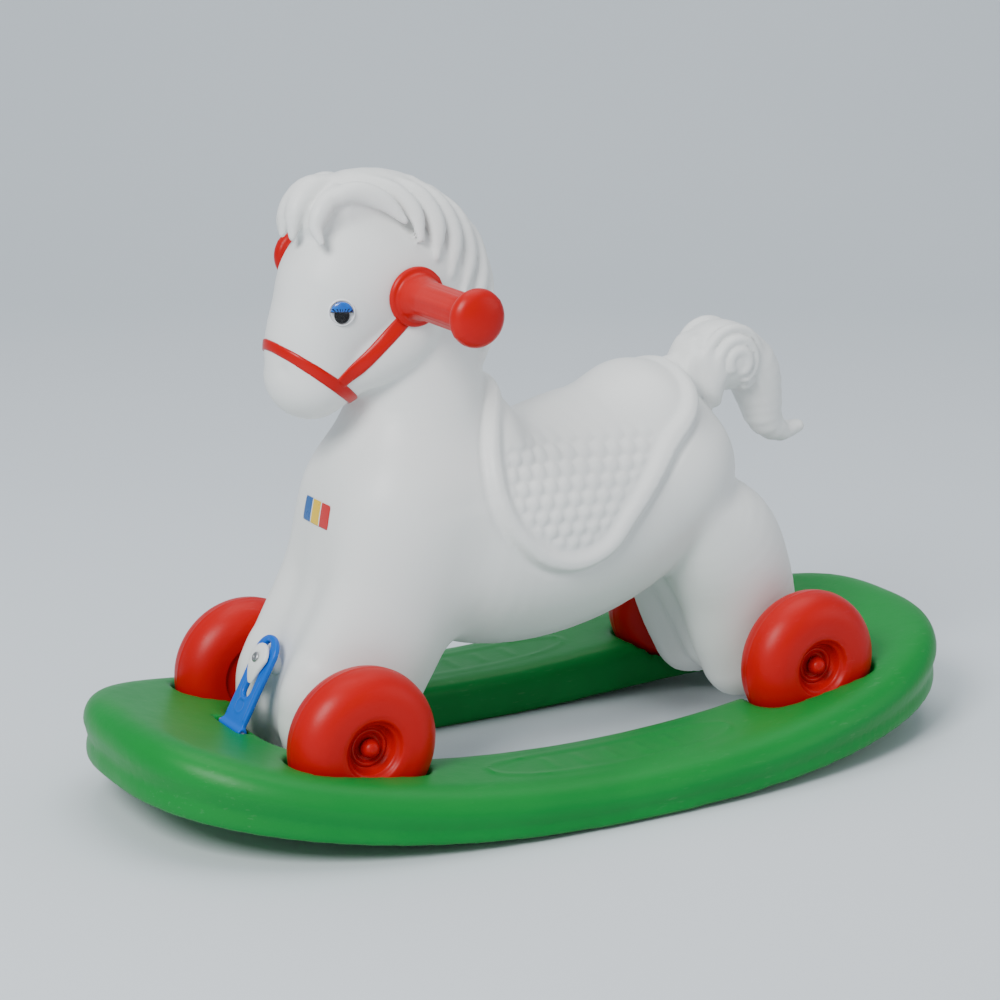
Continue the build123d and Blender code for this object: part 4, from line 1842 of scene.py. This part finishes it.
@dataclass
class Bridle:
    """Red tapes that follow the horse's skin, in millimetres."""

    clay: Clay
    width: float = 10.4
    lift: float = 1.1

    def tape(self, name: str, path: Array, across: Array, node: str, closed: bool) -> None:
        """Lay one tape on the skin.

        Args:
            name: the piece's name.
            path: points along its middle, near the skin.
            across: unit directions across the tape at each point.
            node: the node that it stands for.
            closed: joins the last point to the first.
        """
        path = self.clay.settle(path)
        shares = (-0.5, -0.42, -0.2, 0.0, 0.2, 0.42, 0.5)
        heights = (0.0, 0.9, 1.0, 1.0, 1.0, 0.9, 0.0)
        rows = [
            self.clay.settle(path + across * self.width * s, 0.15 + self.lift * h)
            for s, h in zip(shares, heights)
        ]
        rows.append(self.clay.settle(path, -1.0))
        ring = np.stack(rows, 1)
        count, size = ring.shape[:2]
        faces = []
        for i in range(count if closed else count - 1):
            for j in range(size):
                here, there = i * size, ((i + 1) % count) * size
                faces.append((here + j, here + (j + 1) % size, there + (j + 1) % size, there + j))
        if not closed:
            faces += [tuple(range(size))[::-1], tuple((count - 1) * size + j for j in range(size))]
        piece = Workshop.piece(name, ring.reshape(-1, 3), faces, TAPE, "horse", "bridle_red")
        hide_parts(node)

    def build(self) -> None:
        """Lay the noseband and the cheek straps."""
        middle = np.array([-215.5, 0.0, 367.3])
        along, across = np.array([-0.807, 0.0, 0.59]), np.array([0.59, 0.0, 0.807])
        turns = np.linspace(0, 2 * math.pi, 160, endpoint=False)
        reach = np.array([self.ring_reach(middle, along, turn) for turn in turns])
        path = middle + reach[:, None] * (
            np.cos(turns)[:, None] * along + np.sin(turns)[:, None] * np.array([0.0, 1.0, 0.0])
        )
        self.tape("nose_tape", path, np.tile(across, (len(path), 1)), "noseband", True)
        for name, side in SIDES.items():
            start, end = np.array([-203.0, side * 42, 361.0]), np.array([-150.0, side * 56, 416.0])
            shares = np.linspace(0, 1, 30)[:, None]
            line = start + (end - start) * shares
            sideways = 1.2 * np.tile(np.array([0.714, 0.0, -0.7]), (len(line), 1))
            self.tape(f"{name}_cheek_tape", line, sideways, f"{name}_cheek_strap", False)

    def ring_reach(self, middle: Array, along: Array, turn: float) -> float:
        """Distance from the noseband's middle to the skin in one direction.

        Args:
            middle: the noseband's middle.
            along: its direction at no turn.
            turn: the angle around it.

        Returns:
            The distance.
        """
        way = math.cos(turn) * along + math.sin(turn) * np.array([0.0, 1.0, 0.0])
        reaches = np.arange(5, 75, 0.5)
        values = self.clay.sample(middle + reaches[:, None] * way)
        outside = np.argmax(values > 0)
        return float(reaches[outside]) if values.max() > 0 else 38.0


@dataclass
class ChestSticker:
    """Thin film on the chest, in millimetres."""

    clay: Clay
    width: float = 44.0
    height: float = 21.0
    level: float = 247.0

    def build(self) -> None:
        """Lay the film on the skin."""
        columns, rows = 36, 18
        layers = []
        for lift in (0.25, 0.7):
            grid = []
            for row in range(rows + 1):
                for column in range(columns + 1):
                    u, v = column / columns * 2 - 1, row / rows * 2 - 1
                    corner = 1 - 0.04 * (abs(u) ** 8) * (abs(v) ** 8)
                    across, up = u * corner * self.width / 2, v * self.height / 2
                    grid.append((-214.0, across, self.level + up))
            layers.append(self.clay.settle(np.array(grid), lift))
        faces = sheet_faces(rows, columns)
        finish = StickerFilm("sticker_film", self.width / 2 * MM)
        points = np.concatenate(layers)
        film = Workshop.piece("chest_film", points, faces, finish, "horse", "sticker_film")
        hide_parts("chest_sticker")


@dataclass
class Handlebar:
    """Both handles and the rod between them."""

    def build(self) -> None:
        """Model the handles and dress the rod."""
        for name in SIDES:
            Handle(name).build()
        for node in ("handle_rod", "handle_nuts"):
            Workshop.dress(node, STEEL)


# ---------------------------------------------------------------------- studio


@dataclass
class Studio:
    """Floor, lights and camera, in metres and degrees."""

    azimuth: float = -30.47
    elevation: float = 15.07
    distance: float = 2.592
    roll: float = 0.53
    lens: float = 108.58
    target: tuple[float, float, float] = (-0.0298, 0.0, 0.2337)

    def build(self) -> None:
        """Set the stage."""
        self.sweep()
        self.lights()
        self.camera()

    def sweep(self) -> None:
        """Make the paper sweep that rises behind the object."""
        bend, half_width = 1.6, 6.0
        rows = [(-4.0 + 0.75 * step, 0.0) for step in range(9)]
        for step in range(1, 16):
            angle = math.radians(90 * step / 16)
            rows.append((2.0 + bend * math.sin(angle), bend - bend * math.cos(angle)))
        rows += [(2.0 + bend, bend + 0.5 * step) for step in range(9)]
        turn = math.radians(self.azimuth)
        away = Vector((-math.sin(turn), math.cos(turn), 0.0))
        right = Vector((math.cos(turn), math.sin(turn), 0.0))
        points = [
            away * back + right * wide + Vector((0, 0, up))
            for back, up in rows
            for wide in (-half_width, half_width)
        ]
        faces = [(2 * i, 2 * i + 1, 2 * i + 3, 2 * i + 2) for i in range(len(rows) - 1)]
        mesh = bpy.data.meshes.new("paper_sweep")
        mesh.from_pydata([tuple(p) for p in points], [], faces)
        for face in mesh.polygons:
            face.use_smooth = True
        sweep = placed("paper_sweep", mesh)
        mesh.materials.append(StudioSweep("studio_paper").build())

    def light(self, name: str, place: Sequence[float], size: float, power: float) -> None:
        """Add a square soft light that points at the object.

        Args:
            name: the light's name.
            place: where it stands.
            size: length of its side.
            power: its power in watts.
        """
        lamp = bpy.data.lights.new(name, "AREA")
        lamp.size = size
        lamp.energy = power
        thing = placed(name, lamp)
        thing.location = place
        way = Vector(self.target) - Vector(place)
        thing.rotation_euler = way.to_track_quat("-Z", "Y").to_euler()

    def lights(self) -> None:
        """Add the key, the fill, the top light and the room's glow."""
        self.light("key", (-2.6, -1.6, 2.6), 1.4, 140.0)
        self.light("fill", (2.6, -2.2, 1.4), 2.0, 18.0)
        self.light("top", (0.3, 0.4, 3.0), 2.4, 44.0)
        world = bpy.data.worlds.new("room")
        bpy.context.scene.world = world
        world.use_nodes = True
        glow = world.node_tree.nodes["Background"]
        glow.inputs["Color"].default_value = (0.80, 0.87, 0.95, 1.0)
        glow.inputs["Strength"].default_value = 0.52

    def camera(self) -> None:
        """Place the camera."""
        a, e = math.radians(self.azimuth), math.radians(self.elevation)
        back = Vector((math.sin(a) * math.cos(e), -math.cos(a) * math.cos(e), math.sin(e)))
        lens = bpy.data.cameras.new("camera")
        lens.lens = self.lens
        lens.sensor_width = 36.0
        camera = placed("camera", lens)
        camera.location = Vector(self.target) + back * self.distance
        look = (-back).to_track_quat("-Z", "Y").to_matrix()
        turn = math.radians(self.roll)
        right, up = look.col[0].copy(), look.col[1].copy()
        look.col[0] = right * math.cos(turn) + up * math.sin(turn)
        look.col[1] = up * math.cos(turn) - right * math.sin(turn)
        camera.rotation_euler = look.to_euler()
        bpy.context.scene.camera = camera


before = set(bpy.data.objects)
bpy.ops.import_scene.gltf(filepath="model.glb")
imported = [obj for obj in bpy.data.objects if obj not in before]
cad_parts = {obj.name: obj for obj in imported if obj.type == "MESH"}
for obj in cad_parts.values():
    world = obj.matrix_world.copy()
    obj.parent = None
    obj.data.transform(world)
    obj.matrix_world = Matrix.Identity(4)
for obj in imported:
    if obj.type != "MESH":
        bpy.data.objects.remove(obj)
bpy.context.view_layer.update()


def main() -> None:
    """Build every sub-assembly in order."""
    logging.basicConfig(level=logging.INFO, format="%(message)s")
    Studio().build()
    RockerBase().build()
    clay = HorseBody().build()
    for spot in WHEELS:
        Wheel(spot).build()
    RunningGear().build()
    Handlebar().build()
    for name in SIDES:
        Eye(name).build()
    Bridle(clay).build()
    ChestSticker(clay).build()
    for end in ENDS:
        StrapLatch(end).build()


if __name__ == "__main__":
    main()
